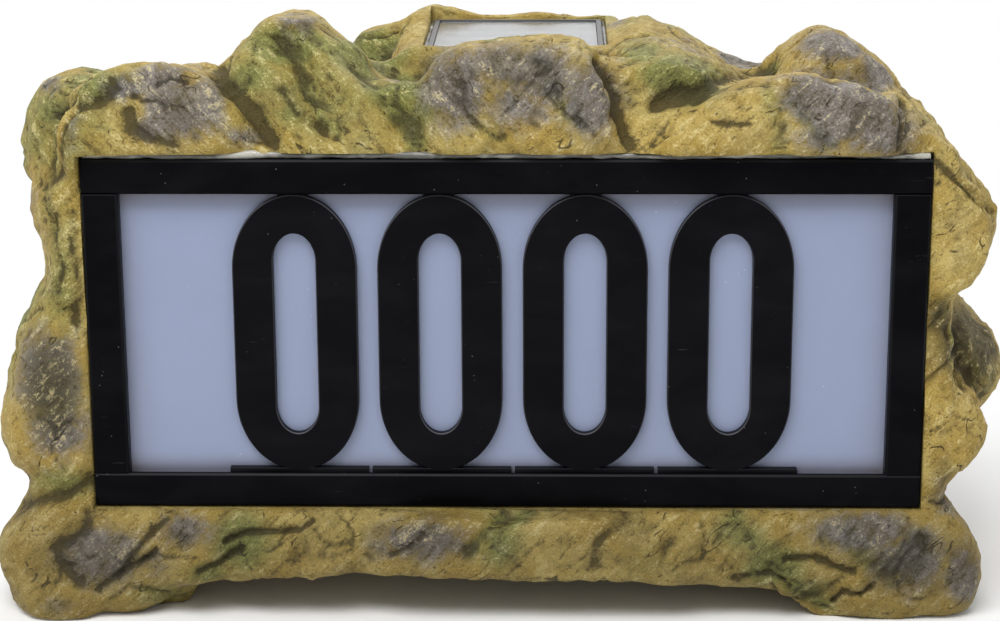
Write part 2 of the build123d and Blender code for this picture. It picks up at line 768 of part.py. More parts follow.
# Facets and folds on the boulders' fronts
facets = [
    # over the left corner: the small left one and the broad one
    facet((left, face, top), [(-3, -2), (-4, 14), (6, 19), (14, 8), (12, -3)], depth=-1.3, lean=18),
    facet((left, face, top), [(21, 4), (28, 20), (46, 24), (55, 11), (42, 2)], depth=0.2, lean=18),
    # folds that fall from the tall ridge to the right
    facet((left, face, top), [(73, 40), (82, 41), (105, 14), (96, 9)], depth=18.5, lean=34),
    facet((left, face, top), [(55, 29), (64, 32), (89, 9), (80, 3)], depth=11, lean=32),
    # both halves of the middle boulder
    facet((mid, face, top), [(-24, 6), (-22, 24), (-12, 31), (-3, 20), (-8, 5)], depth=0.8, lean=10),
    facet((mid, face, top), [(13, 4), (15, 28), (26, 32), (33, 20), (34, 4)], depth=0.6, lean=10),
    # the fold that climbs the long ridge, and the facet at its right end
    facet((right, face, top), [(-92, 2), (-84, 11), (-58, 23), (-53, 16), (-78, 1)], depth=-1.8, lean=15),
    facet((right, face, top), [(-48, 4), (-46, 18), (-34, 23), (-18, 19), (-13, 8), (-20, 2)],
          depth=-1.3, lean=15),
    # right shoulder slab and left bulge
    facet((right, face, top), [(3, -10), (14, -12), (20, -26), (17, -40), (5, -46)], depth=-0.5, lean=4),
    facet((left, face, top), [(-2, -68), (-14, -76), (-23, -92), (-20, -106), (-3, -112)],
          depth=-0.5, lean=4),
    # left foot and the folds that climb the ledge beside it
    facet((left, face, bottom), [(2, -8), (12, -5), (27, -10), (24, -22), (8, -27)], depth=-7, lean=8),
    facet((left, face, bottom), [(-22, -24), (-8, -26), (-2, -34), (-8, -40), (-22, -38)],
          depth=-9.5, lean=8),
    facet((left, face, bottom), [(31, -22), (38, -24), (50, -8), (42, -4)], depth=-8.2, lean=14),
    facet((left, face, bottom), [(54, -21), (63, -19), (86, -7), (82, -2), (66, -6)], depth=-7.2, lean=14),
    # folds of the ledge's right part, one climbing and one falling
    facet((mid, face, bottom), [(52, -24), (60, -25), (73, -6), (65, -2)], depth=-7.7, lean=14),
    facet((mid, face, bottom), [(80, -8), (88, -3), (106, -24), (98, -28)], depth=-8.2, lean=14),
    # right foot
    facet((right, face, bottom), [(-36, -8), (-20, -4), (-4, -9), (-8, -20), (-30, -19)],
          depth=-4.4, lean=8),
    facet((right, face, bottom), [(-26, -25), (2, -24), (8, -32), (-6, -38), (-24, -36)],
          depth=-7, lean=8),
]

# Lumps on the back, round the rear plate and clear of its door
back_lumps = [
    # left
    boulder((plate_left, rock_back, plate_level),
            [(-100, -92), (-108, -8), (-96, 55.5), (-18, 67.5), (-14, 0), (-22, -94)],
            depth=-40, lean=-4, ahead=10, ahead_scale=0.9, behind=50, behind_scale=0.72),
    # right
    boulder((plate_right, rock_back, plate_level),
            [(100, -94), (106.5, 10), (94, 51.5), (20, 65.5), (14, 0), (20, -92)],
            depth=-42, lean=-5, ahead=10, ahead_scale=0.9, behind=50, behind_scale=0.7),
    # above
    boulder((mid, rock_back, plate_top),
            [(-92, 12), (-70, 50.5), (74, 52.5), (96, 12)],
            depth=-34, lean=-6, ahead=10, ahead_scale=0.9, behind=42, behind_scale=0.84),
    # below
    boulder((mid, rock_back, plate_bottom),
            [(-100, -69), (-92, -12), (90, -12), (104, -69)],
            depth=-28, lean=6, ahead=10, ahead_scale=0.95, behind=37, behind_scale=0.9),
]

with BuildPart() as rock_shell:
    # Plain casting that the boulders stand on
    block((left - side_wall, right + side_wall), (face + front_setback, rock_back), (0, top + crown))
    chamfer(rock_shell.edges().filter_by(Axis.Z).group_by(Axis.Y)[-1], back_corner)
    chamfer(rock_shell.edges().group_by(Axis.Z)[-1].group_by(Axis.Y)[-1], back_wall)
    chamfer(rock_shell.edges().group_by(Axis.Z)[-1].filter_by(Axis.Y), crown)
    add(upper_boulders + side_boulders + lower_boulders + facets + back_lumps)
    # Seat of the solar module
    with BuildSketch(facing_front(solar_centre)):
        with BuildLine():
            Polyline((solar_mid - seat_foot, top), (solar_mid - seat_shoulder, solar_top - seat_lip),
                     (solar_mid - seat_crest, solar_top + seat_lip),
                     (solar_mid + seat_crest, solar_top + seat_lip),
                     (solar_mid + seat_shoulder, solar_top - seat_lip), (solar_mid + seat_foot, top),
                     close=True)
        make_face()
    extrude(amount=solar_length / 2 + seat_border, both=True)
    # Trim to the overall size and to the ground
    block((far_left, far_right), (-overall_depth / 2, overall_depth / 2), (0, overall_height),
          mode=Mode.INTERSECT)
    # Seats of the sealant, the frame and the light box, one behind the other
    block((left - frame_fit, right + frame_fit), (-overall_depth, face + sealant_depth),
          (bottom - frame_fit, top + sealant_height), mode=Mode.SUBTRACT)
    block((left - frame_fit, right + frame_fit), (face, frame_back), (bottom - frame_fit, top + frame_fit),
          mode=Mode.SUBTRACT)
    block((panel_left - light_box_room, panel_right + light_box_room), (face, cavity_front),
          (panel_bottom - light_box_room, panel_top + light_box_room), mode=Mode.SUBTRACT)
    # Cavity behind the light box, with cut corners that follow the back
    with BuildSketch(Plane.XY.offset(cavity_floor)):
        with BuildLine():
            corner = back_corner - back_wall / 2
            Polyline((cavity_left, cavity_front), (cavity_right, cavity_front),
                     (cavity_right, cavity_back - corner), (cavity_right - corner, cavity_back),
                     (cavity_left + corner, cavity_back), (cavity_left, cavity_back - corner), close=True)
        make_face()
    extrude(amount=cavity_roof - cavity_floor, mode=Mode.SUBTRACT)
    # Arch between the feet
    with BuildSketch(facing_front(overall_depth)):
        with BuildLine():
            Polyline(*spread(left, arch_height, [(21, -30), (40, -5), (80, -1)]),
                     *spread(mid, arch_height, [(-10, 0), (56, -2)]),
                     *spread(right, arch_height, [(-54, -8), (-10, -30)]), close=True)
        make_face()
    extrude(amount=2 * overall_depth, mode=Mode.SUBTRACT)
    # Recess of the solar module and the hole for its lead
    block((solar_mid - solar_recess_width / 2, solar_mid + solar_recess_width / 2),
          (solar_centre - solar_recess_length / 2, solar_centre + solar_recess_length / 2),
          (solar_tray_bottom, overall_height), mode=Mode.SUBTRACT)
    with BuildSketch(Plane.XY.offset(solar_tray_bottom)):
        with Locations((solar_mid, solar_centre)):
            Circle(solar_lead_hole_radius)
    extrude(amount=cavity_roof - solar_tray_bottom, mode=Mode.SUBTRACT)
    # Recess of the rear plate, the opening behind it and its screw holes
    with BuildSketch(facing_back(overall_depth)):
        with Locations((-mid, plate_level)):
            RectangleRounded(plate_width + 2 * plate_fit, plate_height + 2 * plate_fit,
                             plate_corner + plate_fit)
    extrude(amount=gasket_front - overall_depth, mode=Mode.SUBTRACT)
    with BuildSketch(facing_back(rock_back)):
        with Locations((-mid, plate_level)):
            Rectangle(opening_width, opening_height)
    extrude(amount=-back_wall, mode=Mode.SUBTRACT)
    with BuildSketch(facing_back(gasket_front)):
        with Locations(*[(-x, z) for x, z in plate_screw_places]):
            Circle(plate_screw_radius + screw_clearance / 2)
    extrude(amount=plate_thickness + gasket_thickness - plate_screw_length - 1, mode=Mode.SUBTRACT)
rock_shell.part.label = "rock_shell"
export_step(rock_shell.part, "parts/rock_shell.step")

with BuildPart() as frame_sealant:
    block((left, right), (face + sealant_setback, face + sealant_depth), (top, top + sealant_height))
frame_sealant.part.label = "frame_sealant"
export_step(frame_sealant.part, "parts/frame_sealant.step")

# --------------------------------------------------------------------------------------------------
# Solar module
# --------------------------------------------------------------------------------------------------

with BuildPart() as solar_tray:
    with BuildSketch(Plane.XY.offset(solar_tray_bottom)):
        with Locations((solar_mid, solar_centre)):
            Rectangle(solar_tray_width, solar_tray_length)
    extrude(amount=solar_top + solar_tray_rim - solar_tray_bottom)
    chamfer(solar_tray.edges().group_by(Axis.Z)[-1], solar_tray_rim / 2)
    with BuildSketch(Plane.XY.offset(solar_floor)):
        with Locations((solar_mid, solar_centre)):
            Rectangle(solar_width + 2 * solar_fit, solar_length + 2 * solar_fit)
    extrude(amount=solar_top + solar_tray_rim - solar_floor, mode=Mode.SUBTRACT)
    with BuildSketch(Plane.XY.offset(solar_tray_bottom)):
        with Locations((solar_mid, solar_centre)):
            Circle(solar_boss_radius)
    extrude(amount=-solar_boss_length)
    with BuildSketch(Plane.XY.offset(solar_floor)):
        with Locations((solar_mid, solar_centre)):
            Circle(lead_hole_radius)
    extrude(amount=-solar_tray_floor - solar_boss_length, mode=Mode.SUBTRACT)
solar_tray.part.label = "solar_tray"
export_step(solar_tray.part, "parts/solar_tray.step")

with BuildPart() as solar_cells:
    with BuildSketch(Plane.XY.offset(solar_floor)):
        with Locations((solar_mid, solar_centre)):
            Rectangle(solar_width, solar_length)
    extrude(amount=solar_cell_thickness)
solar_cells.part.label = "solar_cells"
export_step(solar_cells.part, "parts/solar_cells.step")

with BuildPart() as solar_window:
    with BuildSketch(Plane.XY.offset(solar_cells_top)):
        with Locations((solar_mid, solar_centre)):
            Rectangle(solar_width, solar_length)
    extrude(amount=solar_window_thickness)
solar_window.part.label = "solar_window"
export_step(solar_window.part, "parts/solar_window.step")

with BuildPart() as solar_sealant:
    with BuildSketch(Plane.XY.offset(solar_top)):
        with Locations((solar_mid, solar_centre)):
            Rectangle(solar_recess_width, solar_recess_length)
            Rectangle(solar_tray_width, solar_tray_length, mode=Mode.SUBTRACT)
    extrude(amount=-solar_sealant_depth)
solar_sealant.part.label = "solar_sealant"
export_step(solar_sealant.part, "parts/solar_sealant.step")

# --------------------------------------------------------------------------------------------------
# Rear plate with its battery bay, gasket, screws and door
# --------------------------------------------------------------------------------------------------

post_places = [
    (bay_mid + side * (board_width / 2 - post_inset), plate_level + side * (board_height / 2 - post_inset))
    for side in (-1, 1)
]
knuckle_reach = hinge_barrel_length / 2 + hinge_gap
knuckle_spans = [
    (bay_mid - knuckle_reach - hinge_knuckle_length, bay_mid - knuckle_reach),
    (bay_mid + knuckle_reach, bay_mid + knuckle_reach + hinge_knuckle_length),
]


def hinge_plane(x):
    """The plane across the hinge's axis at x: local x is +Y and local y is +Z."""
    return Plane(origin=(x, hinge_y, hinge_z), x_dir=(0, 1, 0), z_dir=(1, 0, 0))


with BuildPart() as rear_plate:
    with BuildSketch(facing_back(plate_inner)):
        with Locations((-mid, plate_level)):
            RectangleRounded(plate_width, plate_height, plate_corner)
    extrude(amount=plate_thickness)
    # Battery bay
    block((bay_left - bay_wall, bay_right + bay_wall), (bay_back, plate_inner),
          (plate_level - bay_height / 2 - bay_wall, plate_level + bay_height / 2 + bay_wall))
    block((bay_left, bay_right), (bay_floor, plate_outer),
          (plate_level - bay_height / 2, plate_level + bay_height / 2), mode=Mode.SUBTRACT)
    # Rebate of the door
    block((bay_mid - door_width / 2 - door_clearance, bay_mid + door_width / 2 + door_clearance),
          (bay_rim, plate_outer),
          (door_bottom - door_clearance, door_bottom + door_height + door_clearance), mode=Mode.SUBTRACT)
    # Hinge knuckles
    for low, high in knuckle_spans:
        with BuildSketch(hinge_plane(low)):
            Circle(hinge_radius)
            with Locations((-(hinge_y - plate_outer) / 2, 0)):
                Rectangle(hinge_y - plate_outer, 2 * hinge_radius)
        extrude(amount=high - low)
        with BuildSketch(hinge_plane(low)):
            Circle(hinge_pin_radius + hinge_pin_clearance)
        extrude(amount=high - low, mode=Mode.SUBTRACT)
    # Well and slot of the switch
    block((switch_x - slot_length / 2 - switch_well_margin, switch_x + slot_length / 2 + switch_well_margin),
          (plate_outer - switch_well_depth, plate_outer),
          (switch_z - slot_height / 2 - switch_well_margin, switch_z + slot_height / 2 + switch_well_margin),
          mode=Mode.SUBTRACT)
    block((switch_x - slot_length / 2, switch_x + slot_length / 2), (plate_inner, plate_outer),
          (switch_z - slot_height / 2, switch_z + slot_height / 2), mode=Mode.SUBTRACT)
    # Screw holes
    with BuildSketch(facing_back(plate_inner)):
        with Locations(*[(-x, z) for x, z in plate_screw_places]):
            Circle(plate_screw_radius + screw_clearance)
    extrude(amount=plate_thickness, mode=Mode.SUBTRACT)
    # Posts for the control board
    with BuildSketch(facing_front(bay_back)):
        with Locations(*post_places):
            Circle(post_radius)
            Circle(board_screw_radius + screw_clearance / 2, mode=Mode.SUBTRACT)
    extrude(amount=post_length)
rear_plate.part.label = "rear_plate"
export_step(rear_plate.part, "parts/rear_plate.step")

with BuildPart() as rear_gasket:
    with BuildSketch(facing_back(gasket_front)):
        with Locations((-mid, plate_level)):
            RectangleRounded(plate_width, plate_height, plate_corner)
            Rectangle(opening_width, opening_height, mode=Mode.SUBTRACT)
        with Locations(*[(-x, z) for x, z in plate_screw_places]):
            Circle(plate_screw_radius + screw_clearance, mode=Mode.SUBTRACT)
    extrude(amount=gasket_thickness)
rear_gasket.part.label = "rear_gasket"
export_step(rear_gasket.part, "parts/rear_gasket.step")

with BuildPart() as rear_screws:
    add(pan_screws(plate_screw_places, plate_outer, plate_screw_radius, plate_screw_length,
                   plate_screw_head_radius, plate_screw_head, outward=1))
rear_screws.part.label = "rear_screws"
export_step(rear_screws.part, "parts/rear_screws.step")

door_outer = bay_rim + door_thickness
with BuildPart() as battery_door:
    block((bay_mid - door_width / 2, bay_mid + door_width / 2), (bay_rim, door_outer),
          (door_bottom, door_bottom + door_height))
    chamfer(battery_door.faces().sort_by(Axis.Y)[-1].edges(), seam_edge)
    # Web and barrel of the hinge
    barrel_low = bay_mid - hinge_barrel_length / 2
    with BuildSketch(hinge_plane(barrel_low)):
        Circle(hinge_radius)
        web_low = hinge_gap - (hinge_y - plate_outer)
        with BuildLine():
            Polyline((web_low, 0), (0, 0), (door_outer - hinge_y, door_bottom + hinge_radius - hinge_z),
                     (web_low, door_bottom + hinge_radius - hinge_z), close=True)
        make_face()
    extrude(amount=hinge_barrel_length)
    with BuildSketch(hinge_plane(barrel_low)):
        Circle(hinge_pin_radius + hinge_pin_clearance)
    extrude(amount=hinge_barrel_length, mode=Mode.SUBTRACT)
    # Finger grip under the free edge
    grip_level = door_bottom + door_height - door_margin - door_grip_count * door_grip_pitch / 2
    with BuildSketch(facing_back(door_outer)):
        with Locations((-bay_mid, grip_level)):
            with GridLocations(0, door_grip_pitch, 1, door_grip_count):
                Rectangle(door_grip_width, door_grip_rib)
    extrude(amount=door_grip_rib)
battery_door.part.label = "battery_door"
export_step(battery_door.part, "parts/battery_door.step")

with BuildPart() as door_hinge_pin:
    pin_low = knuckle_spans[0][0]
    with BuildSketch(hinge_plane(pin_low)):
        Circle(hinge_pin_radius)
    extrude(amount=knuckle_spans[1][1] - pin_low)
door_hinge_pin.part.label = "door_hinge_pin"
export_step(door_hinge_pin.part, "parts/door_hinge_pin.step")

# --------------------------------------------------------------------------------------------------
# Cells and their contacts
# --------------------------------------------------------------------------------------------------

cell_y = bay_floor + cell_radius
cell_offset = cell_radius + cell_gap / 2


def cell(z, nub_side):
    """A cylindrical cell along X, with its nub at the end that nub_side gives."""
    nub_end = bay_mid + nub_side * (bay_length / 2 - contact_thickness)
    with BuildPart() as battery:
        with BuildSketch(Plane(origin=(nub_end, cell_y, z), x_dir=(0, 1, 0), z_dir=(-nub_side, 0, 0))):
            Circle(cell_nub_radius)
        extrude(amount=cell_nub_length)
        with BuildSketch(Plane(origin=(nub_end - nub_side * cell_nub_length, cell_y, z), x_dir=(0, 1, 0),
                               z_dir=(-nub_side, 0, 0))):
            Circle(cell_radius)
        extrude(amount=cell_length - cell_nub_length)
    return battery.part


for index, (side, up) in enumerate(((1, 1), (-1, -1))):
    with BuildPart() as battery:
        add(cell(plate_level + up * cell_offset, side))
    battery.part.label = f"battery_{index + 1}"
    export_step(battery.part, f"parts/battery_{index + 1}.step")

with BuildPart() as battery_contacts:
    # Each end carries one flat contact for a nub and one sprung cone for a flat end
    for side in (-1, 1):
        wall_x = bay_mid + side * bay_length / 2
        for up in (-1, 1):
            z = plate_level + up * cell_offset
            block(sorted((wall_x, wall_x - side * contact_thickness)),
                  (cell_y - contact_size / 2, cell_y + contact_size / 2),
                  (z - contact_size / 2, z + contact_size / 2))
            if side != up:
                cone_base = wall_x - side * contact_thickness
                with BuildSketch(Plane(origin=(cone_base, cell_y, z), x_dir=(0, 1, 0), z_dir=(-side, 0, 0))):
                    Circle(contact_size / 3)
                extrude(amount=contact_spring, taper=20)
battery_contacts.part.label = "battery_contacts"
export_step(battery_contacts.part, "parts/battery_contacts.step")

# --------------------------------------------------------------------------------------------------
# Switch
# --------------------------------------------------------------------------------------------------

switch_front = plate_inner - switch_depth
slider_base_back = plate_inner - slider_clearance
slider_rest_x = switch_x - switch_travel / 2

with BuildPart() as switch_body:
    block((switch_x - switch_length / 2, switch_x + switch_length / 2), (switch_front, plate_inner),
          (switch_z - switch_height / 2, switch_z + switch_height / 2))
    block((switch_x - switch_length / 2 + switch_wall, switch_x + switch_length / 2 - switch_wall),
          (plate_inner - slider_base_thickness - 2 * slider_clearance, plate_inner),
          (switch_z - switch_height / 2 + switch_wall, switch_z + switch_height / 2 - switch_wall),
          mode=Mode.SUBTRACT)
switch_body.part.label = "switch_body"
export_step(switch_body.part, "parts/switch_body.step")

slider_half_height = switch_height / 2 - switch_wall - slider_clearance
with BuildPart() as switch_slider:
    block((slider_rest_x - slider_base_length / 2, slider_rest_x + slider_base_length / 2),
          (slider_base_back - slider_base_thickness, slider_base_back),
          (switch_z - slider_half_height, switch_z + slider_half_height))
    block((slider_rest_x - knob_length / 2, slider_rest_x + knob_length / 2),
          (slider_base_back, plate_outer + knob_proud),
          (switch_z - knob_height / 2, switch_z + knob_height / 2))
switch_slider.part.label = "switch_slider"
export_step(switch_slider.part, "parts/switch_slider.step")

# --------------------------------------------------------------------------------------------------
# Control board and internal leads
# --------------------------------------------------------------------------------------------------

with BuildPart() as control_board:
    block((bay_mid - board_width / 2, bay_mid + board_width / 2), (board_front, board_back),
          (plate_level - board_height / 2, plate_level + board_height / 2))
    with BuildSketch(facing_front(board_front)):
        with Locations(*post_places):
            Circle(board_screw_radius + screw_clearance)
    extrude(amount=-board_thickness, mode=Mode.SUBTRACT)
control_board.part.label = "control_board"
export_step(control_board.part, "parts/control_board.step")

with BuildPart() as board_screws:
    add(pan_screws(post_places, board_front, board_screw_radius, board_thickness + post_length - 1,
                   board_screw_head_radius, board_screw_head, outward=-1))
board_screws.part.label = "board_screws"
export_step(board_screws.part, "parts/board_screws.step")

socket_front = board_front - socket_depth
solar_socket_top = plate_level + board_height / 2 - socket_margin
with BuildPart() as board_parts:
    # Sockets of the solar lead and of the light box's lead
    block((solar_socket_x - socket_width / 2, solar_socket_x + socket_width / 2), (socket_front, board_front),
          (solar_socket_top - socket_height, solar_socket_top))
    block((led_socket_x - socket_width / 2, led_socket_x + socket_width / 2), (socket_front, board_front),
          (led_socket_z - socket_height / 2, led_socket_z + socket_height / 2))
    # Coil, capacitor and control chip
    with BuildSketch(facing_front(board_front)):
        with Locations((bay_mid - board_part_spread, plate_level)):
            Circle(coil_radius)
    extrude(amount=coil_height)
    with BuildSketch(facing_front(board_front)):
        with Locations((bay_mid + board_part_spread, plate_level + capacitor_rise)):
            Circle(capacitor_radius)
    extrude(amount=capacitor_height)
    with BuildSketch(facing_front(board_front)):
        with Locations((bay_mid, plate_level - chip_drop)):
            Rectangle(chip_length, chip_width)
    extrude(amount=chip_height)
board_parts.part.label = "board_parts"
export_step(board_parts.part, "parts/board_parts.step")

socket_y = (socket_front + board_front) / 2
solar_route = [
    (solar_mid, solar_centre, solar_floor),
    (solar_mid, solar_centre, cavity_roof - 6),
    (solar_mid - 6, solar_centre + 4, cavity_roof - 24),
    (solar_socket_x, socket_y, solar_socket_top + 17),
    (solar_socket_x, socket_y, solar_socket_top),
]
with BuildPart() as solar_lead:
    add(lead(solar_route))
solar_lead.part.label = "solar_lead"
export_step(solar_lead.part, "parts/solar_lead.step")

led_route = [
    (lead_exit_x, led_board_back, window_level),
    (lead_exit_x, led_board_back + 20, window_level),
    (led_socket_x, socket_front - 20, led_socket_z),
    (led_socket_x, socket_front, led_socket_z),
]
with BuildPart() as led_lead:
    add(lead(led_route))
led_lead.part.label = "led_lead"
export_step(led_lead.part, "parts/led_lead.step")
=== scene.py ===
"""Illuminated house number sign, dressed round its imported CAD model.

Metres, in the model's own frame: +X to the right of someone reading the sign, +Y to its back, +Z up.
Where a name ends in _mm, its lengths are millimetres in that frame. Where it ends in _px, its places
are pixels of the 1000 x 621 picture that the camera frames, counted from its top left corner.
"""

import itertools
import json
import math

import bmesh
import bpy
import numpy as np
from bpy.props import FloatProperty, FloatVectorProperty, IntProperty, PointerProperty
from mathutils import Matrix, Vector
from mathutils.kdtree import KDTree

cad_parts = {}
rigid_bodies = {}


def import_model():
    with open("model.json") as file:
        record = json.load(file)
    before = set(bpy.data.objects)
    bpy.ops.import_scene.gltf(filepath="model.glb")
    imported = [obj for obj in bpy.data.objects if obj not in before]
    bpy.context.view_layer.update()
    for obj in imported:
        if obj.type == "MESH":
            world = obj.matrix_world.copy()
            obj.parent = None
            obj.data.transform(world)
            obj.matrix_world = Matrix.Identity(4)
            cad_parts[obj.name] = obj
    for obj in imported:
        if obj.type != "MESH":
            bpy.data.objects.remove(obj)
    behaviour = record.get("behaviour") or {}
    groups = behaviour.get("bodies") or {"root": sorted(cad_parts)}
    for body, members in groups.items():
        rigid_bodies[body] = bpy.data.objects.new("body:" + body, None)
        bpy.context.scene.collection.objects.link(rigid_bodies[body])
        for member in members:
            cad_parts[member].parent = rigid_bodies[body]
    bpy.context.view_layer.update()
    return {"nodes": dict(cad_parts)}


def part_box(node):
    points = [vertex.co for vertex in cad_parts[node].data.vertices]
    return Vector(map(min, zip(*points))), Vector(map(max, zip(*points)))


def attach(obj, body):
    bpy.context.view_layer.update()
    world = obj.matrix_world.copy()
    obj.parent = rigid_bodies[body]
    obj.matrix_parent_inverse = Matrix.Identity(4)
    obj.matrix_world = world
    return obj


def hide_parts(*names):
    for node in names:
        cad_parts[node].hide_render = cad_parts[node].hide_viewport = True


bl_info = {
    "name": "Illuminated house number sign",
    "version": (1, 0, 0),
    "blender": (4, 5, 0),
    "location": "3D View > Sidebar > House sign",
    "description": "Dresses the packed sign: cast rock, lit window, numerals, solar module and rear plate",
    "category": "Object",
}

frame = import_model()

MM = 0.001
PICTURE_PX = (1000, 621)
# Drawn creases of less than this half width are dark, and wider ones are mossy valleys
NARROW_MM = 3.5
# Heads of the screws that hold the boards, and the sides of the LEDs' square bodies
BOARD_HEAD_RADIUS_MM, BOARD_HEAD_HEIGHT_MM = 2.1, 1.3
LED_SIDE_MM = 5.0


def linear(red, green, blue):
    """Scene-linear colour of an 8-bit screen colour."""
    shades = (value / 255 for value in (red, green, blue))
    return tuple(s / 12.92 if s <= 0.04045 else ((s + 0.055) / 1.055) ** 2.4 for s in shades)


def scaled(tint, *shares):
    """A colour with its channels multiplied by one share, or by one each."""
    return tuple(channel * share for channel, share in zip(tint, shares if len(shares) > 1 else shares * 3))


def colour(name, description, screen):
    """A colour setting, its default given as an 8-bit screen colour."""
    return FloatVectorProperty(name=name, description=description, default=linear(*screen), subtype="COLOR",
                               min=0.0, max=1.0)


def length(name, description, millimetres):
    """A length setting, its default given in millimetres."""
    return FloatProperty(name=name, description=description, default=millimetres * MM, unit="LENGTH",
                         precision=4)


def angle(name, description, degrees):
    """An angle setting, its default given in degrees."""
    return FloatProperty(name=name, description=description, default=math.radians(degrees), subtype="ANGLE")


def span_mm(*nodes):
    """Lowest and highest corner of several CAD nodes together."""
    corners = np.array([[list(corner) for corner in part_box(node)] for node in nodes]) / MM
    return corners[:, 0].min(0), corners[:, 1].max(0)


# ----- Settings -----


class RockSettings(bpy.types.PropertyGroup):
    grain: length("Grain", "Edge of the voxels that the casting is sculpted from", 1.45)
    crevice: length("Crevice", "Widest gap between boulders that the casting closes", 11.0)
    rounding: length("Rounding", "How far the boulders' edges are rounded off", 2.4)
    lumps: length("Lumps", "Depth of the broad hollows and swellings", 2.1)
    knuckles: length("Knuckles", "Depth of the finger-sized relief", 0.55)
    folds: length("Folds", "Depth of the folds that run over the boulders", 1.7)
    cracks: length("Cracks", "Depth of the cracks between the plates of rock", 1.1)
    pitting: length("Pitting", "Depth of the finest relief in the mesh", 0.5)
    creases: FloatProperty(name="Creases", description="Depth of the creases, of what is drawn", default=1.5)
    triangles: IntProperty(name="Triangles", description="Size of the finished mesh", default=172000)
    ochre: colour("Ochre", "Base coat of the casting", (186, 164, 93))
    # Umber darkens the hollows and creases as a wash and as painted shade
    umber: colour("Umber", "Wash left in the hollows", (42, 35, 16))
    # Cream is dry-brushed paint and also a painted highlight on the crests
    cream: colour("Cream", "Dry-brushed crests", (226, 208, 150))
    slate: colour("Slate", "Grey patches on the crests", (128, 125, 131))
    shale: colour("Shale", "Brown shadows in the grey patches", (82, 74, 58))
    moss: colour("Moss", "Green glaze in the valleys", (98, 112, 58))
    olive: colour("Olive", "Dark glaze low on the right side", (62, 56, 26))


class WindowSettings(bpy.types.PropertyGroup):
    frame_black: colour("Frame black", "Moulded plastic of the rails and stiles", (4, 4, 7))
    numeral_black: colour("Numeral black", "Satin plastic of the numeral tiles", (6, 6, 10))
    diffuser_tint: colour("Diffuser", "Opal sheet in front of the light box", (146, 156, 184))
    # Painted shade on the opal sheet near the frame
    diffuser_shade: colour("Diffuser edge", "Opal sheet near its borders", (116, 110, 114))
    glue_tint: colour("Glue", "Clear sealant over the top rail", (214, 212, 200))


class SolarSettings(bpy.types.PropertyGroup):
    silicon: colour("Silicon", "Cells under the resin window", (38, 44, 66))
    silver: colour("Silver", "Printed conductors on the cells", (226, 228, 230))
    fingers: IntProperty(name="Fingers", description="Fine conductors across each cell", default=36)
    strips: IntProperty(name="Strips", description="Cut cells wired in a row", default=4)


class RearSettings(bpy.types.PropertyGroup):
    plate_black: colour("Plate black", "Moulded plastic of the rear plate and its door", (26, 26, 28))
    rubber: colour("Rubber", "Gasket and grommet", (18, 18, 19))
    steel: colour("Steel", "Screws and hinge pin", (176, 176, 172))
    laminate: colour("Laminate", "Circuit boards", (24, 82, 46))
    wrap: colour("Wrap", "Sleeves of the cells", (70, 140, 106))


class StageSettings(bpy.types.PropertyGroup):
    place: FloatVectorProperty(name="Camera", description="Where the camera stands", unit="LENGTH",
                               subtype="TRANSLATION", default=(0.0182, -0.9048, 0.3484))
    pitch: angle("Pitch", "How far the camera looks down", 15.48)
    yaw: angle("Yaw", "How far the camera turns to the right", -1.32)
    roll: angle("Roll", "Tilt of the camera", -0.27)
    focal_px: FloatProperty(name="Focal length", description="In pixels of the picture", default=2500.0)
    key: FloatProperty(name="Key light", description="Power of the large lamp overhead", default=18.5,
                       unit="POWER")
    fill: FloatProperty(name="Surroundings", description="Brightness of the pale room", default=0.42)


class SignSettings(bpy.types.PropertyGroup):
    rock: PointerProperty(type=RockSettings)
    window: PointerProperty(type=WindowSettings)
    solar: PointerProperty(type=SolarSettings)
    rear: PointerProperty(type=RearSettings)
    stage: PointerProperty(type=StageSettings)


# ----- Nodes and shader maths -----


def give(tree, socket, value):
    """Link a socket to another node's output, or set its own value."""
    if isinstance(value, Wire):
        value = value.socket
    if isinstance(value, bpy.types.NodeSocket):
        tree.links.new(value, socket)
    elif socket.type == "RGBA":
        socket.default_value = (*value, 1.0)[:4]
    else:
        socket.default_value = value


def add_node(tree, kind, settings=None, inputs=None):
    """Add a node, its settings first and then its sockets, each with a value or what feeds it."""
    node = tree.nodes.new(kind)
    for name, value in (settings or {}).items():
        setattr(node, name, value)
    for name, value in (inputs or {}).items():
        give(tree, node.inputs[name], value)
    return node


class Wire:
    """An output socket of a material. Arithmetic on it adds Math nodes to the material's tree."""

    def __init__(self, finish, socket):
        self.finish = finish
        self.socket = socket

    def math(self, operation, *values, clamp=False):
        inputs = dict(enumerate(values))
        return self.finish.add("ShaderNodeMath", {"operation": operation, "use_clamp": clamp}, inputs)

    def __add__(self, other):
        return self.math("ADD", self, other)

    def __sub__(self, other):
        return self.math("SUBTRACT", self, other)

    def __rsub__(self, other):
        return self.math("SUBTRACT", other, self)

    def __mul__(self, other):
        return self.math("MULTIPLY", self, other)

    def __truediv__(self, other):
        return self.math("DIVIDE", self, other)

    def __rtruediv__(self, other):
        return self.math("DIVIDE", other, self)

    def __pow__(self, other):
        return self.math("POWER", self, other)

    __radd__ = __add__
    __rmul__ = __mul__

    def clamped(self):
        """The value held between 0 and 1."""
        return self.math("ADD", self, 0.0, clamp=True)

    def least(self, other):
        return self.math("MINIMUM", self, other)

    def size(self):
        return self.math("ABSOLUTE", self)

    def rise(self, low, high):
        """0 below low, 1 above high and a smooth slope between them."""
        settings = {"interpolation_type": "SMOOTHSTEP"}
        return self.finish.add("ShaderNodeMapRange", settings, {0: self, 1: low, 2: high})


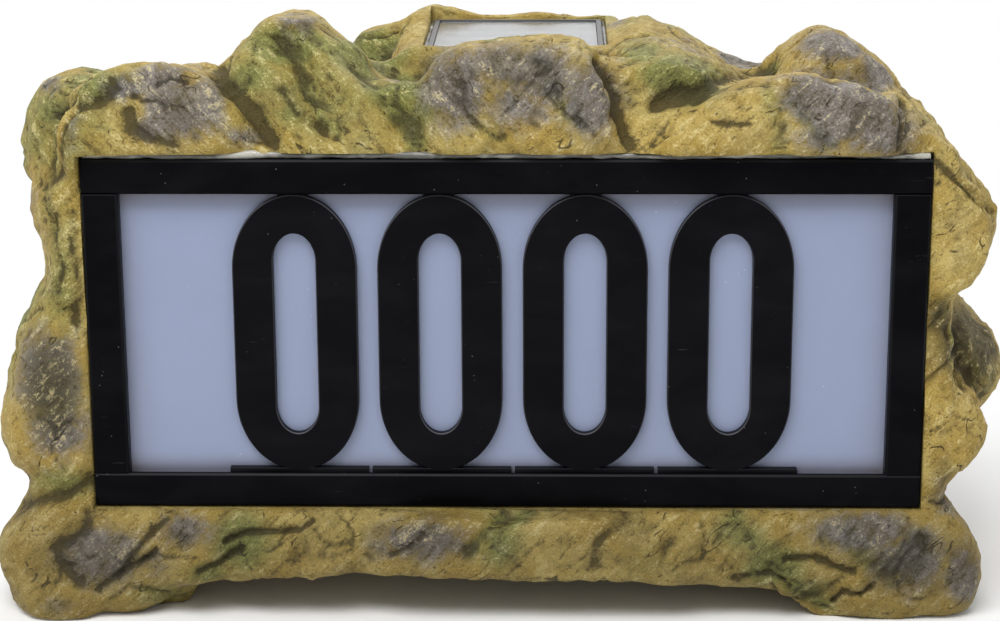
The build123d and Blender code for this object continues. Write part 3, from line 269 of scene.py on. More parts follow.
class Finish:
    """A procedural material: one Principled shader and whatever feeds it."""

    def __init__(self, name, **fixed):
        self.material = bpy.data.materials.new(name)
        self.material.use_nodes = True
        self.tree = self.material.node_tree
        self.tree.nodes.clear()
        self.shader = add_node(self.tree, "ShaderNodeBsdfPrincipled")
        surface = {"Surface": self.shader.outputs[0]}
        self.result = add_node(self.tree, "ShaderNodeOutputMaterial", None, surface)
        self.set(**fixed)

    def add(self, kind, settings=None, inputs=None, output=None):
        """Add a node and return the output of that name or number, or else the first in use."""
        outputs = add_node(self.tree, kind, settings, inputs).outputs
        if output is None:
            return Wire(self, next(socket for socket in outputs if socket.enabled))
        return Wire(self, outputs[output])

    def set(self, **values):
        """Set the shader's sockets, such as base_color or roughness, by value or by wire."""
        for name, value in values.items():
            socket = name.replace("_", " ").title().replace("Ior", "IOR")
            give(self.tree, self.shader.inputs[socket], value)

    def place(self):
        return self.add("ShaderNodeTexCoord", output="Object")

    def attribute(self, name):
        return self.add("ShaderNodeAttribute", {"attribute_name": name}, output="Fac")

    def split(self, vector):
        """The three parts of a vector."""
        parts = add_node(self.tree, "ShaderNodeSeparateXYZ", None, {0: vector})
        return [Wire(self, socket) for socket in parts.outputs]

    def vector(self, operation, *values, output=0):
        return self.add("ShaderNodeVectorMath", {"operation": operation}, dict(enumerate(values)), output)

    def stretched(self, vector, factors):
        return self.vector("MULTIPLY", vector, factors)

    def noise(self, vector, size_mm, detail=3.0, roughness=0.55, distortion=0.0, output="Fac"):
        """Noise with features of about that size."""
        inputs = {"Vector": vector, "Scale": 1 / (size_mm * MM), "Detail": detail, "Roughness": roughness,
                  "Distortion": distortion}
        return self.add("ShaderNodeTexNoise", None, inputs, output)

    def warped(self, vector, size_mm, by_mm):
        """A vector pushed about by noise, so that what is drawn on it wanders."""
        push = self.noise(vector, size_mm, 2.0, output="Color")
        centred = self.vector("SUBTRACT", push, (0.5, 0.5, 0.5))
        reach = 2 * by_mm * MM
        return self.vector("ADD", vector, self.vector("MULTIPLY", centred, (reach, reach, reach)))

    def cells(self, vector, size_mm, feature="F1", output="Distance"):
        """Distances in a pattern of cells of about that size, in cell sizes."""
        return self.add("ShaderNodeTexVoronoi", {"feature": feature},
                        {"Vector": vector, "Scale": 1 / (size_mm * MM)}, output)

    def mix(self, factor, first, second, how="MIX"):
        """A mix of two colours."""
        settings = {"data_type": "RGBA", "blend_type": how}
        return self.add("ShaderNodeMix", settings, {0: factor, 6: first, 7: second}, 2)

    def relief(self, height, depth_mm, strength=1.0):
        """Bump of that depth from a height between 0 and 1."""
        inputs = {"Height": height, "Distance": depth_mm * MM, "Strength": strength}
        self.set(normal=self.add("ShaderNodeBump", None, inputs))


# ----- Pieces -----


def dress(material, *nodes):
    """Give CAD nodes a material."""
    for name in nodes:
        slots = frame["nodes"][name].data.materials
        slots.clear()
        slots.append(material)


def linked(name, data):
    """A new object at the origin with that mesh, camera or lamp."""
    thing = bpy.data.objects.new(name, data)
    bpy.context.scene.collection.objects.link(thing)
    return thing


def mesh_object(name, vertices, faces=(), edges=()):
    """An object at the origin, from vertices in metres."""
    mesh = bpy.data.meshes.new(name)
    mesh.from_pydata([tuple(v) for v in vertices], edges, faces)
    mesh.update()
    return linked(name, mesh)


def bmesh_object(name, work):
    """An object at the origin from a bmesh, which is then freed."""
    mesh = bpy.data.meshes.new(name)
    work.to_mesh(mesh)
    work.free()
    return linked(name, mesh)


def read(collection, name):
    """The vectors that a mesh keeps under that name, one row for each item."""
    values = np.empty(len(collection) * 3, np.float32)
    collection.foreach_get(name, values)
    return values.reshape(-1, 3).astype(float)


def put_attribute(thing, name, values):
    """Store a number at each vertex of an object."""
    layer = thing.data.attributes.new(name, "FLOAT", "POINT")
    layer.data.foreach_set("value", values.astype(np.float32))


def finished(thing, material, body, slot, *replaced, sharp=35.0):
    """Finish a mesh piece: its shading, material, body and the CAD nodes it stands for. The slot is not used.
    """
    thing.data.materials.clear()
    thing.data.materials.append(material)
    thing.data.shade_smooth()
    thing.data.set_sharp_from_angle(angle=math.radians(sharp))
    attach(thing, body)
    if replaced:
        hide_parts(*replaced)
    return thing


def baked(thing, name):
    """Turn an object and its modifiers into a plain mesh object of that name."""
    depsgraph = bpy.context.evaluated_depsgraph_get()
    mesh = bpy.data.meshes.new_from_object(thing.evaluated_get(depsgraph), preserve_all_data_layers=True,
                                           depsgraph=depsgraph)
    bpy.data.objects.remove(thing)
    return linked(name, mesh)


def cut_out(thing, tool, name):
    """Cut a tool out of a solid, and remove the tool."""
    cutter = thing.modifiers.new("cut", "BOOLEAN")
    cutter.solver = "MANIFOLD"
    cutter.operation = "DIFFERENCE"
    cutter.object = tool
    thing = baked(thing, name)
    bpy.data.objects.remove(tool)
    return thing


def merged_copy(node, name):
    """A copy of a CAD node's mesh with its loose triangles joined."""
    work = bmesh.new()
    work.from_mesh(frame["nodes"][node].data)
    bmesh.ops.remove_doubles(work, verts=work.verts, dist=0.002 * MM)
    return bmesh_object(name, work)


def softened(node, name, width_mm, material, body, slot):
    """A CAD part with its sharp edges rounded off and a painted highlight on them, in place of the plain one.
    """
    thing = merged_copy(node, name)
    work = bmesh.new()
    work.from_mesh(thing.data)
    bmesh.ops.dissolve_limit(work, angle_limit=math.radians(0.5), verts=work.verts, edges=work.edges)
    work.to_mesh(thing.data)
    work.free()
    bevel = thing.modifiers.new("edges", "BEVEL")
    bevel.width = width_mm * MM
    bevel.segments = 3
    bevel.limit_method = "ANGLE"
    bevel.angle_limit = math.radians(28)
    thing = finished(baked(thing, name), material, body, slot, node, sharp=40)
    # A painted highlight on the rounded edges, strongest on those that face up
    normals = read(thing.data.vertex_normals, "vector")
    square = np.maximum(np.abs(normals[:, 1]), np.hypot(normals[:, 0], normals[:, 2]))
    upward = np.clip(0.35 + 0.65 * normals[:, 2], 0, 1)
    put_attribute(thing, "edge_highlight", np.clip(4 * (1 - square), 0, 1) * upward)
    return thing


# ----- Camera and stage -----


def camera_axes(stage):
    """The camera's right, up and forward directions."""
    pitch, yaw, roll = stage.pitch, stage.yaw, stage.roll
    forward = Vector((math.sin(yaw) * math.cos(pitch), math.cos(yaw) * math.cos(pitch), -math.sin(pitch)))
    level = Vector((math.cos(yaw), -math.sin(yaw), 0.0))
    upright = level.cross(forward)
    right = math.cos(roll) * level + math.sin(roll) * upright
    up = math.cos(roll) * upright - math.sin(roll) * level
    return right, up, forward


def seen_px(stage, points_mm):
    """Where points land in the picture."""
    right, up, forward = (np.array(axis) for axis in camera_axes(stage))
    away = points_mm * MM - np.array(stage.place)
    depth = away @ forward
    across = PICTURE_PX[0] / 2 + stage.focal_px * (away @ right) / depth
    down = PICTURE_PX[1] / 2 - stage.focal_px * (away @ up) / depth
    return np.stack([across, down], 1)


def make_stage(stage):
    """Camera, lamps, pale room and floor."""
    scene = bpy.context.scene
    scene.view_settings.view_transform = "Standard"
    right, up, forward = camera_axes(stage)
    lens = bpy.data.cameras.new("camera")
    lens.sensor_width = 36.0
    lens.lens = lens.sensor_width * stage.focal_px / PICTURE_PX[0]
    lens.clip_start = 0.01
    camera = linked("camera", lens)
    turned = Matrix((right, up, -forward)).transposed().to_4x4()
    camera.matrix_world = Matrix.Translation(stage.place) @ turned
    scene.camera = camera
    lamp("key_lamp", (-0.35, -0.75, 1.35), (1.1, 0.7), stage.key)
    lamp("back_lamp", (0.3, 1.1, 1.2), (1.4, 0.8), stage.key * 0.5)

    # The room is white where it is seen, in a mirror and through glass too, and lights more softly
    world = bpy.data.worlds.new("room")
    world.use_nodes = True
    scene.world = world
    tree = world.node_tree
    tree.nodes.clear()
    rays = add_node(tree, "ShaderNodeLightPath").outputs
    shown = rays["Is Camera Ray"]
    for ray in ("Is Transmission Ray", "Is Glossy Ray"):
        either = {0: shown, 1: rays[ray]}
        shown = add_node(tree, "ShaderNodeMath", {"operation": "MAXIMUM"}, either).outputs[0]
    levels = {"Value": shown, "To Min": stage.fill, "To Max": 1.0}
    strength = add_node(tree, "ShaderNodeMapRange", None, levels).outputs[0]
    white = {"Color": (1.0, 1.0, 1.0), "Strength": strength}
    background = add_node(tree, "ShaderNodeBackground", None, white)
    add_node(tree, "ShaderNodeOutputWorld", None, {"Surface": background.outputs[0]})

    reach = 6.0
    floor = mesh_object("floor", [(x, y, 0) for x, y in rectangle((-reach, -reach), (reach, reach))],
                        [(0, 1, 2, 3)])
    # The paper keeps the sign's shadow close by, and is plain white to the camera further off
    paper = Finish("white_floor", base_color=(0.95, 0.95, 0.95), roughness=0.9, specular_ior_level=0.1)
    away = paper.vector("LENGTH", paper.place(), output="Value")
    share = away.rise(0.14, 0.36) * paper.add("ShaderNodeLightPath", output="Is Camera Ray")
    layers = {0: share, 1: paper.shader.outputs[0], 2: paper.add("ShaderNodeEmission")}
    give(paper.tree, paper.result.inputs["Surface"], paper.add("ShaderNodeMixShader", None, layers))
    floor.data.materials.append(paper.material)


def lamp(name, place, size, power):
    """A rectangular lamp that points at the sign's middle."""
    light = bpy.data.lights.new(name, "AREA")
    light.shape = "RECTANGLE"
    light.size, light.size_y = size
    light.energy = power
    holder = linked(name, light)
    holder.location = place
    holder.rotation_euler = (Vector((0, 0, 0.1)) - Vector(place)).to_track_quat("-Z", "Y").to_euler()


# ----- Cast rock -----

# Creases pressed into the rock: depth and half width in millimetres, then the line in the picture
creases_px = [
    (2.0, 3.0, [(130, 113), (133, 127), (150, 140), (172, 147)]),
    (2.2, 2.6, [(215, 68), (233, 87), (253, 110), (267, 133), (273, 150)]),
    (1.8, 4.0, [(280, 38), (300, 60), (307, 87), (320, 110), (337, 133)]),
    (2.0, 5.0, [(310, 30), (333, 53), (360, 77), (383, 100), (410, 127), (417, 145)]),
    (-1.4, 4.0, [(325, 60), (348, 84), (372, 104), (384, 132)]),
    (1.6, 3.0, [(283, 90), (300, 113), (322, 130)]),
    (0.9, 1.2, [(133, 97), (143, 103), (157, 100), (167, 107)]),
    (0.9, 1.2, [(157, 87), (173, 80), (187, 83)]),
    (2.4, 3.4, [(110, 77), (113, 90), (107, 100), (87, 103), (72, 107), (60, 117)]),
    (1.6, 2.6, [(62, 117), (60, 150), (58, 173), (43, 187)]),
    (1.3, 2.2, [(45, 200), (50, 217), (53, 243), (63, 267), (58, 290)]),
    (1.2, 2.0, [(75, 215), (72, 250), (80, 285), (76, 320)]),
    (2.4, 2.0, [(597, 62), (607, 85), (616, 105), (624, 125), (629, 148)]),
    (1.6, 4.5, [(543, 63), (550, 87), (567, 110), (583, 127)]),
    (1.2, 3.5, [(470, 75), (462, 100), (475, 125), (500, 140)]),
    (1.5, 6.0, [(625, 38), (648, 57), (667, 75), (690, 95)]),
    (2.2, 4.5, [(700, 37), (727, 57), (747, 67), (767, 60)]),
    (2.2, 2.8, [(655, 103), (687, 92), (713, 84), (740, 77), (766, 71)]),
    (1.3, 5.0, [(767, 90), (777, 113), (780, 133), (778, 150)]),
    (1.6, 5.0, [(793, 100), (810, 123), (827, 143)]),
    (0.9, 1.1, [(713, 123), (730, 125), (750, 126)]),
    (2.2, 1.8, [(932, 160), (957, 180), (980, 197), (997, 210)]),
    (2.4, 2.2, [(903, 97), (906, 127), (901, 152)]),
    (1.6, 3.0, [(90, 513), (83, 533), (57, 547), (63, 563), (80, 580)]),
    (1.4, 1.6, [(117, 577), (133, 553), (150, 533), (167, 517)]),
    (1.6, 1.6, [(100, 587), (117, 573), (140, 563), (157, 550)]),
    (2.0, 1.4, [(227, 540), (247, 530), (273, 530), (300, 528), (313, 518)]),
    (1.7, 1.6, [(200, 573), (220, 563), (240, 547)]),
    (1.3, 1.6, [(390, 553), (407, 547), (427, 530), (443, 520)]),
    (2.6, 4.0, [(470, 550), (487, 532), (503, 514)]),
    (2.0, 4.0, [(500, 530), (513, 520), (530, 508)]),
    (1.6, 3.0, [(593, 562), (597, 542), (607, 530), (625, 518)]),
    (2.2, 5.5, [(735, 515), (753, 540), (773, 560), (795, 583), (822, 608)]),
    (1.4, 1.3, [(787, 557), (813, 555), (833, 563), (853, 570)]),
    (1.8, 1.3, [(833, 600), (843, 590), (860, 593), (873, 583)]),
    (1.6, 6.0, [(850, 533), (863, 557), (893, 573), (913, 563), (920, 540)]),
    (1.4, 1.6, [(733, 577), (753, 573), (777, 577), (793, 590)]),
    (-1.5, 3.0, [(313, 572), (337, 565), (357, 552)]),
    (-1.6, 4.0, [(640, 560), (655, 535), (672, 518)]),
    (1.5, 3.0, [(20, 505), (45, 500), (70, 492), (92, 478)]),
    (1.5, 3.0, [(948, 330), (958, 360), (975, 385), (985, 402)]),
    (-1.5, 3.0, [(955, 380), (968, 405), (975, 430), (955, 465)]),
]

# Painted patches: centre and radii in the picture, and strength
slate_px = [
    (45, 82, 14, 10, 0.9), (125, 88, 22, 14, 0.8), (165, 80, 28, 12, 0.9), (182, 110, 32, 24, 1.1),
    (152, 126, 18, 14, 0.8), (208, 98, 20, 20, 0.8), (245, 138, 20, 10, 0.6), (72, 128, 11, 18, 0.5),
    (298, 15, 18, 12, 1.0), (455, 88, 26, 34, 1.0), (500, 66, 30, 22, 0.9), (542, 76, 26, 26, 1.0),
    (590, 98, 22, 32, 1.0), (520, 104, 36, 24, 0.7), (808, 96, 22, 20, 1.0), (850, 112, 36, 28, 1.2),
    (882, 132, 28, 20, 1.0), (822, 140, 26, 12, 0.8), (836, 45, 30, 14, 1.1), (876, 72, 18, 16, 1.0),
    (50, 375, 24, 36, 1.0), (62, 432, 24, 22, 0.9), (100, 556, 34, 24, 1.0), (186, 530, 24, 14, 0.8),
    (150, 562, 20, 14, 0.6), (422, 540, 42, 18, 0.9), (862, 530, 42, 15, 1.0), (912, 560, 34, 28, 0.9),
    (962, 572, 14, 24, 1.0), (948, 500, 14, 16, 0.6), (60, 604, 30, 10, 0.5),
]
moss_px = [
    (330, 85, 120, 70, 0.55), (670, 65, 70, 40, 0.42), (60, 120, 50, 60, 0.60), (45, 260, 34, 110, 0.50),
    (100, 85, 34, 14, 0.9), (50, 112, 18, 18, 0.8), (36, 145, 10, 24, 0.6), (285, 46, 34, 18, 1.0),
    (252, 76, 30, 18, 0.8), (310, 85, 24, 22, 0.6), (368, 55, 34, 22, 1.1), (395, 90, 30, 16, 1.0),
    (420, 112, 20, 16, 0.8), (290, 114, 16, 12, 0.7), (350, 110, 20, 12, 0.5), (640, 50, 22, 14, 0.8),
    (666, 74, 22, 16, 1.1), (702, 76, 30, 18, 0.9), (622, 20, 32, 10, 0.7), (726, 45, 26, 14, 0.6),
    (762, 65, 18, 8, 0.7), (62, 290, 18, 56, 0.6), (40, 230, 12, 30, 0.5), (62, 482, 28, 16, 0.7),
    (242, 540, 24, 24, 1.0), (208, 572, 20, 10, 0.8), (162, 592, 24, 12, 0.6), (500, 542, 18, 24, 0.8),
    (738, 530, 24, 18, 0.7), (772, 566, 24, 18, 1.1), (802, 592, 20, 12, 0.9), (648, 560, 30, 14, 0.4),
    (250, 105, 20, 20, 0.4), (985, 370, 14, 28, 0.5),
]
olive_px = [
    (52, 390, 26, 46, 0.85), (58, 118, 36, 50, 0.34), (905, 562, 40, 30, 0.3), (970, 345, 30, 34, 1.0),
    (940, 320, 14, 24, 0.8), (26, 505, 14, 20, 0.5), (942, 470, 12, 30, 0.5),
]
# Cream patches: dry-brushed paint, and a painted highlight where the crests catch the light
cream_px = [
    (745, 130, 40, 14, 0.8), (965, 238, 24, 34, 0.7), (570, 522, 30, 8, 0.6), (345, 74, 13, 10, 0.9),
    (335, 560, 20, 12, 0.7), (640, 535, 20, 12, 0.6), (960, 412, 20, 30, 0.5), (728, 112, 40, 10, 0.6),
    (40, 540, 14, 18, 0.8), (42, 578, 20, 12, 0.7), (195, 98, 14, 8, 0.5), (508, 66, 20, 6, 0.6),
]


def value_noise(points_mm, size_mm, seed, squeeze=(1.0, 1.0, 1.0)):
    """Smooth noise from 0 to 1 with features of about that size."""
    grid = points_mm * np.array(squeeze) / size_mm
    cell = np.floor(grid).astype(np.int64)
    part = grid - cell
    part = part * part * part * (part * (part * 6 - 15) + 10)
    total = np.zeros(len(points_mm))
    for corner in itertools.product((0, 1), repeat=3):
        share = np.prod(np.where(corner, part, 1 - part), axis=1)
        total += share * scattered(cell + corner, seed)
    return total


def scattered(cells, seed):
    """A number from 0 to 1 for each cell, always the same for that cell and seed."""
    x, y, z = cells.T
    code = (x * 73856093 ^ y * 19349663 ^ z * 83492791 ^ seed * 40503) & 0xFFFFFFFF
    code = ((code ^ (code >> 15)) * 2246822519) & 0xFFFFFFFF
    code = ((code ^ (code >> 13)) * 3266489917) & 0xFFFFFFFF
    return ((code ^ (code >> 16)) & 0xFFFFFF) / 0xFFFFFF


def layered_noise(points_mm, size_mm, seed, layers=3, squeeze=(1.0, 1.0, 1.0)):
    """Several layers of noise, each finer and weaker than the last, from about -1 to 1."""
    total = np.zeros(len(points_mm))
    weight, sum_of_weights = 1.0, 0.0
    for layer in range(layers):
        total += weight * (2 * value_noise(points_mm, size_mm, seed + layer, squeeze) - 1)
        sum_of_weights += weight
        size_mm, weight = size_mm / 2.1, weight * 0.55
    return total / sum_of_weights


def cell_borders(points_mm, size_mm, seed):
    """Distance from the borders of scattered cells, in cell sizes."""
    grid = points_mm / size_mm
    home = np.floor(grid).astype(np.int64)
    nearest = np.full(len(grid), 9.0)
    second = np.full(len(grid), 9.0)
    for step in itertools.product((-1, 0, 1), repeat=3):
        cell = home + step
        centre = cell + np.stack([scattered(cell, seed + axis) for axis in range(3)], 1)
        distance = np.sqrt(((grid - centre) ** 2).sum(1))
        second = np.minimum(second, np.maximum(nearest, distance))
        nearest = np.minimum(nearest, distance)
    return second - nearest


def smoothed(values, edges, counts, passes):
    """Average values half way along a mesh's edges, several times over."""
    for _ in range(passes):
        around = np.empty_like(values)
        for axis in range(values.shape[1]):
            column = values[:, axis]
            around[:, axis] = (np.bincount(edges[:, 0], column[edges[:, 1]], len(values))
                               + np.bincount(edges[:, 1], column[edges[:, 0]], len(values))) / counts
        values = values + 0.5 * (around - values)
    return values


def distance_to_line(places, line):
    """Distance of places in the picture from a line of points."""
    least = np.full(len(places), 1e9)
    for start, end in zip(line, line[1:]):
        start, run = np.array(start, float), np.subtract(end, start).astype(float)
        along = np.clip(((places - start) @ run) / (run @ run), 0, 1)
        least = np.minimum(least, np.linalg.norm(places - start - along[:, None] * run, axis=1))
    return least


def prism(outline, axis, low, high):
    """A closed prism in millimetres: its outline across an axis (0, 1 or 2), from low to high."""
    order = {0: (2, 0, 1), 1: (0, 2, 1), 2: (0, 1, 2)}[axis]
    points = [(*corner, level) for level in (low, high) for corner in outline]
    vertices = [tuple(point[order[k]] for k in range(3)) for point in points]
    count = len(outline)
    faces = [tuple(reversed(range(count))), tuple(range(count, 2 * count))]
    for a in range(count):
        b = (a + 1) % count
        faces.append((a, b, count + b, count + a))
    thing = mesh_object("prism", np.array(vertices) * MM, faces)
    work = bmesh.new()
    work.from_mesh(thing.data)
    bmesh.ops.recalc_face_normals(work, faces=work.faces)
    work.to_mesh(thing.data)
    work.free()
    return thing


def rectangle(low, high):
    return [(low[0], low[1]), (high[0], low[1]), (high[0], high[1]), (low[0], high[1])]


def circle(centre, radius, sides=24):
    turns = [2 * math.pi * k / sides for k in range(sides)]
    return [(centre[0] + radius * math.cos(t), centre[1] + radius * math.sin(t)) for t in turns]


def rounded_rectangle(low, high, radius, sides=6):
    points = []
    corners = [(high[0], high[1], 0), (low[0], high[1], 90), (low[0], low[1], 180), (high[0], low[1], 270)]
    for x, y, start in corners:
        centre = (x - math.copysign(radius, x - (low[0] + high[0]) / 2),
                  y - math.copysign(radius, y - (low[1] + high[1]) / 2))
        for k in range(sides + 1):
            turn = math.radians(start + 90 * k / sides)
            points.append((centre[0] + radius * math.cos(turn), centre[1] + radius * math.sin(turn)))
    return points


def hollows_mm():
    """The casting's hollows: outline, axis, the levels filled while sculpting and the levels cut after.

    They reach a little into one another, so that no skin is left between them.
    """
    fit, far, corner, rear_wall = 0.5, 260.0, 22.0, 50.0
    low, high = span_mm("frame_top_rail", "frame_bottom_rail", "frame_left_stile", "frame_right_stile")
    seat = rectangle((low[0] - fit, low[2] - fit), (high[0] + fit, high[2] + fit))
    face, frame_back, top = low[1], high[1], high[2]
    bead = rectangle((low[0] - fit, top - 1.0), (high[0] + fit, top + 2.2))
    panel_low, panel_high = span_mm("diffuser_panel", "light_box")
    room = rectangle((panel_low[0] - 1.5, panel_low[2] - 1.5), (panel_high[0] + 1.5, panel_high[2] + 1.5))
    left, right, front, floor, roof = low[0] + 5.0, high[0] - 5.0, -21.9, 26.0, top + 2.0
    cavity = [(left, front), (right, front), (right, rear_wall - corner), (right - corner, rear_wall),
              (left + corner, rear_wall), (left, rear_wall - corner)]
    module_low, module_high = span_mm("solar_sealant")
    module = rectangle(module_low[:2], module_high[:2])
    tray_bottom = span_mm("solar_tray")[0][2] + 4.0
    lead_hole = circle((module_low[:2] + module_high[:2]) / 2, 5.5)
    gasket_low, gasket_high = span_mm("rear_gasket")
    recess = gasket_low[1]
    plate = rounded_rectangle((gasket_low[0] - fit, gasket_low[2] - fit),
                              (gasket_high[0] + fit, gasket_high[2] + fit), 6.5)
    opening = rectangle((gasket_low[0] + 10, gasket_low[2] + 10), (gasket_high[0] - 10, gasket_high[2] - 10))
    parts = [
        (seat, 1, (face + 3, frame_back), (-far, frame_back)),
        (bead, 1, None, (-far, face + 5)),
        (room, 1, (face + 4, front), (face, front + 0.5)),
        (cavity, 2, (floor, roof), (floor, roof)),
        (module, 2, (tray_bottom, module_high[2] - 1), (tray_bottom, far)),
        (lead_hole, 2, (roof - 1, tray_bottom + 1), (roof - 1, tray_bottom + 1)),
        (plate, 1, (recess, rear_face_mm() - 0.5), (recess, far)),
        (opening, 1, (rear_wall - 1, recess + 1), (rear_wall - 1, recess + 1)),
    ]
    screw_holes = (rear_wall - 2, recess + 0.5)
    for place in plate_screws_mm():
        parts.append((circle(place, 1.55, 12), 1, screw_holes, screw_holes))
    return parts


def rear_face_mm():
    """Depth of the rear plate's outer face, just behind the gasket."""
    return span_mm("rear_gasket")[1][1] + 3.0


def plate_screws_mm():
    """Centres of the rear plate's screws, as x and z."""
    low, high = span_mm("rear_gasket")
    return [(x, z) for x in (low[0] + 5.5, high[0] - 5.5) for z in (low[2] + 5.5, high[2] - 5.5)]


def remade(thing, grain, grow=0.0):
    """The same solid in small even quads, its surface then moved outwards by grow."""
    voxels = thing.modifiers.new("voxels", "REMESH")
    voxels.mode = "VOXEL"
    voxels.voxel_size = grain
    if grow:
        push = thing.modifiers.new("grow", "DISPLACE")
        push.strength = grow
        push.mid_level = 0.0
    return baked(thing, "rock_work")


def solid_casting(grain, crevice):
    """The CAD casting with its hollows and narrow crevices filled, remade as small even quads."""
    base = merged_copy("rock_shell", "rock_work")
    work = bmesh.new()
    work.from_mesh(base.data)
    for outline, axis, filled, _ in hollows_mm():
        if filled:
            plug = prism(outline, axis, *filled)
            work.from_mesh(plug.data)
            bpy.data.objects.remove(plug)
    work.to_mesh(base.data)
    work.free()
    base = remade(base, grain, crevice / 2)
    base = remade(base, grain, -crevice / 2)
    return remade(base, grain)


def patches(places, blobs):
    """Strength of painted patches at places in the picture."""
    total = np.zeros(len(places))
    for x, y, radius_x, radius_y, strength in blobs:
        spread = ((places[:, 0] - x) / radius_x) ** 2 + ((places[:, 1] - y) / radius_y) ** 2
        total = np.maximum(total, strength * np.exp(-0.5 * spread))
    return total


def beyond_mm(points, low, high, axes):
    """How far points lie outside a rectangle across two axes, and less than 0 inside it."""
    gaps = [np.abs(points[:, k] - (low[k] + high[k]) / 2) - (high[k] - low[k]) / 2 for k in axes]
    return np.maximum(*gaps)


def relief_mm(rock, soft, falling):
    """Height of the relief over the plain boulders, and the noise by which its forms wander."""
    wander = np.stack([layered_noise(soft, 22, 90 + 7 * axis, 2) for axis in range(3)], 1)
    wandering = soft + 6 * wander
    lumps = layered_noise(wandering, 42, 11, 2)
    knuckles = 1 - 2 * np.abs(layered_noise(wandering, 20, 23, 2))
    down_right = np.array([[0.70, 0.0, 0.70], [0.0, 1.0, 0.0], [0.70, 0.0, -0.70]])
    up_right = np.array([[0.70, 0.0, -0.70], [0.0, 1.0, 0.0], [0.70, 0.0, 0.70]])
    folds = np.zeros(len(soft))
    for turn, share, seed in ((down_right, falling, 41), (up_right, 1 - falling, 43)):
        drawn = layered_noise(wandering @ turn.T, 10, seed, 3, (1.0, 0.4, 0.2))
        folds += share * (1 - 2 * np.abs(drawn))
    plates = cell_borders(soft + 9 * wander, 34, 5)
    fine_plates = cell_borders(soft + 4 * wander, 11, 8)
    gate = np.clip(2.4 * value_noise(soft, 28, 61) - 0.8, 0, 1)
    broken = np.clip(2.4 * value_noise(soft, 16, 67) - 0.8, 0, 1)
    cracks = broken * np.exp(-(plates / 0.04) ** 2) + 0.5 * gate * broken * np.exp(-(fine_plates / 0.09) ** 2)
    pits = layered_noise(soft, 4.4, 71, 2)
    height = (rock.lumps / MM * lumps + rock.knuckles / MM * knuckles
              + rock.folds / MM * folds * (0.3 + 0.7 * gate) + rock.pitting / MM * pits
              - rock.cracks / MM * cracks)
    return height - height.mean(), wander


def creased(height, deepness, soft, places, px_per_mm, facing):
    """Press the drawn creases into the relief, and say how far each point lies in a crease or a valley."""
    crease, valley = np.zeros(len(soft)), np.zeros(len(soft))
    uneven = 0.8 * layered_noise(soft, 7, 33, 2)
    for depth, half_width, line in creases_px:
        away = distance_to_line(places, line) / px_per_mm + uneven
        inside = np.exp(-(away / half_width) ** 2) * facing
        height = height - deepness * depth * inside
        strength = np.clip(depth / 2, 0, 1) * inside
        kind = crease if half_width < NARROW_MM else valley
        np.maximum(kind, strength, out=kind)
    return height, crease, valley


def held_down(soft):
    """Share of the relief that each point keeps: less near the frame and the module, none on the ground."""
    rim = np.clip(soft[:, 2] / 2.5, 0, 1)
    beside = beyond_mm(soft, *span_mm("frame_top_rail", "frame_bottom_rail"), (0, 2))
    near_frame = np.clip(1 - beside / 8, 0, 1) * (soft[:, 1] < -30)
    aside = beyond_mm(soft, *span_mm("solar_sealant"), (0, 1))
    near_module = np.clip(1 - aside / 6, 0, 1) * (soft[:, 2] > 170)
    return rim * (1 - 0.55 * near_frame) * (1 - 0.85 * near_module)


def fitted(shaped, plain):
    """Bend what leaves the CAD casting's box back into it, and keep its ground face flat."""
    margin = 3.0
    box_low, box_high = plain.min(0), plain.max(0)
    middle, reach = (box_low + box_high) / 2, (box_high - box_low) / 2
    away = np.abs(shaped - middle)
    out = away - (reach - margin)
    bent = np.where(out > 0, reach - margin + margin * np.tanh(out / margin), away)
    shaped = middle + np.sign(shaped - middle) * bent
    low, high = shaped.min(0), shaped.max(0)
    shaped = box_low + (shaped - low) * (box_high - box_low) / (high - low)
    shaped[:, 2] = np.where(plain[:, 2] < 0.6, 0.0, np.maximum(shaped[:, 2], 0.0))
    return shaped


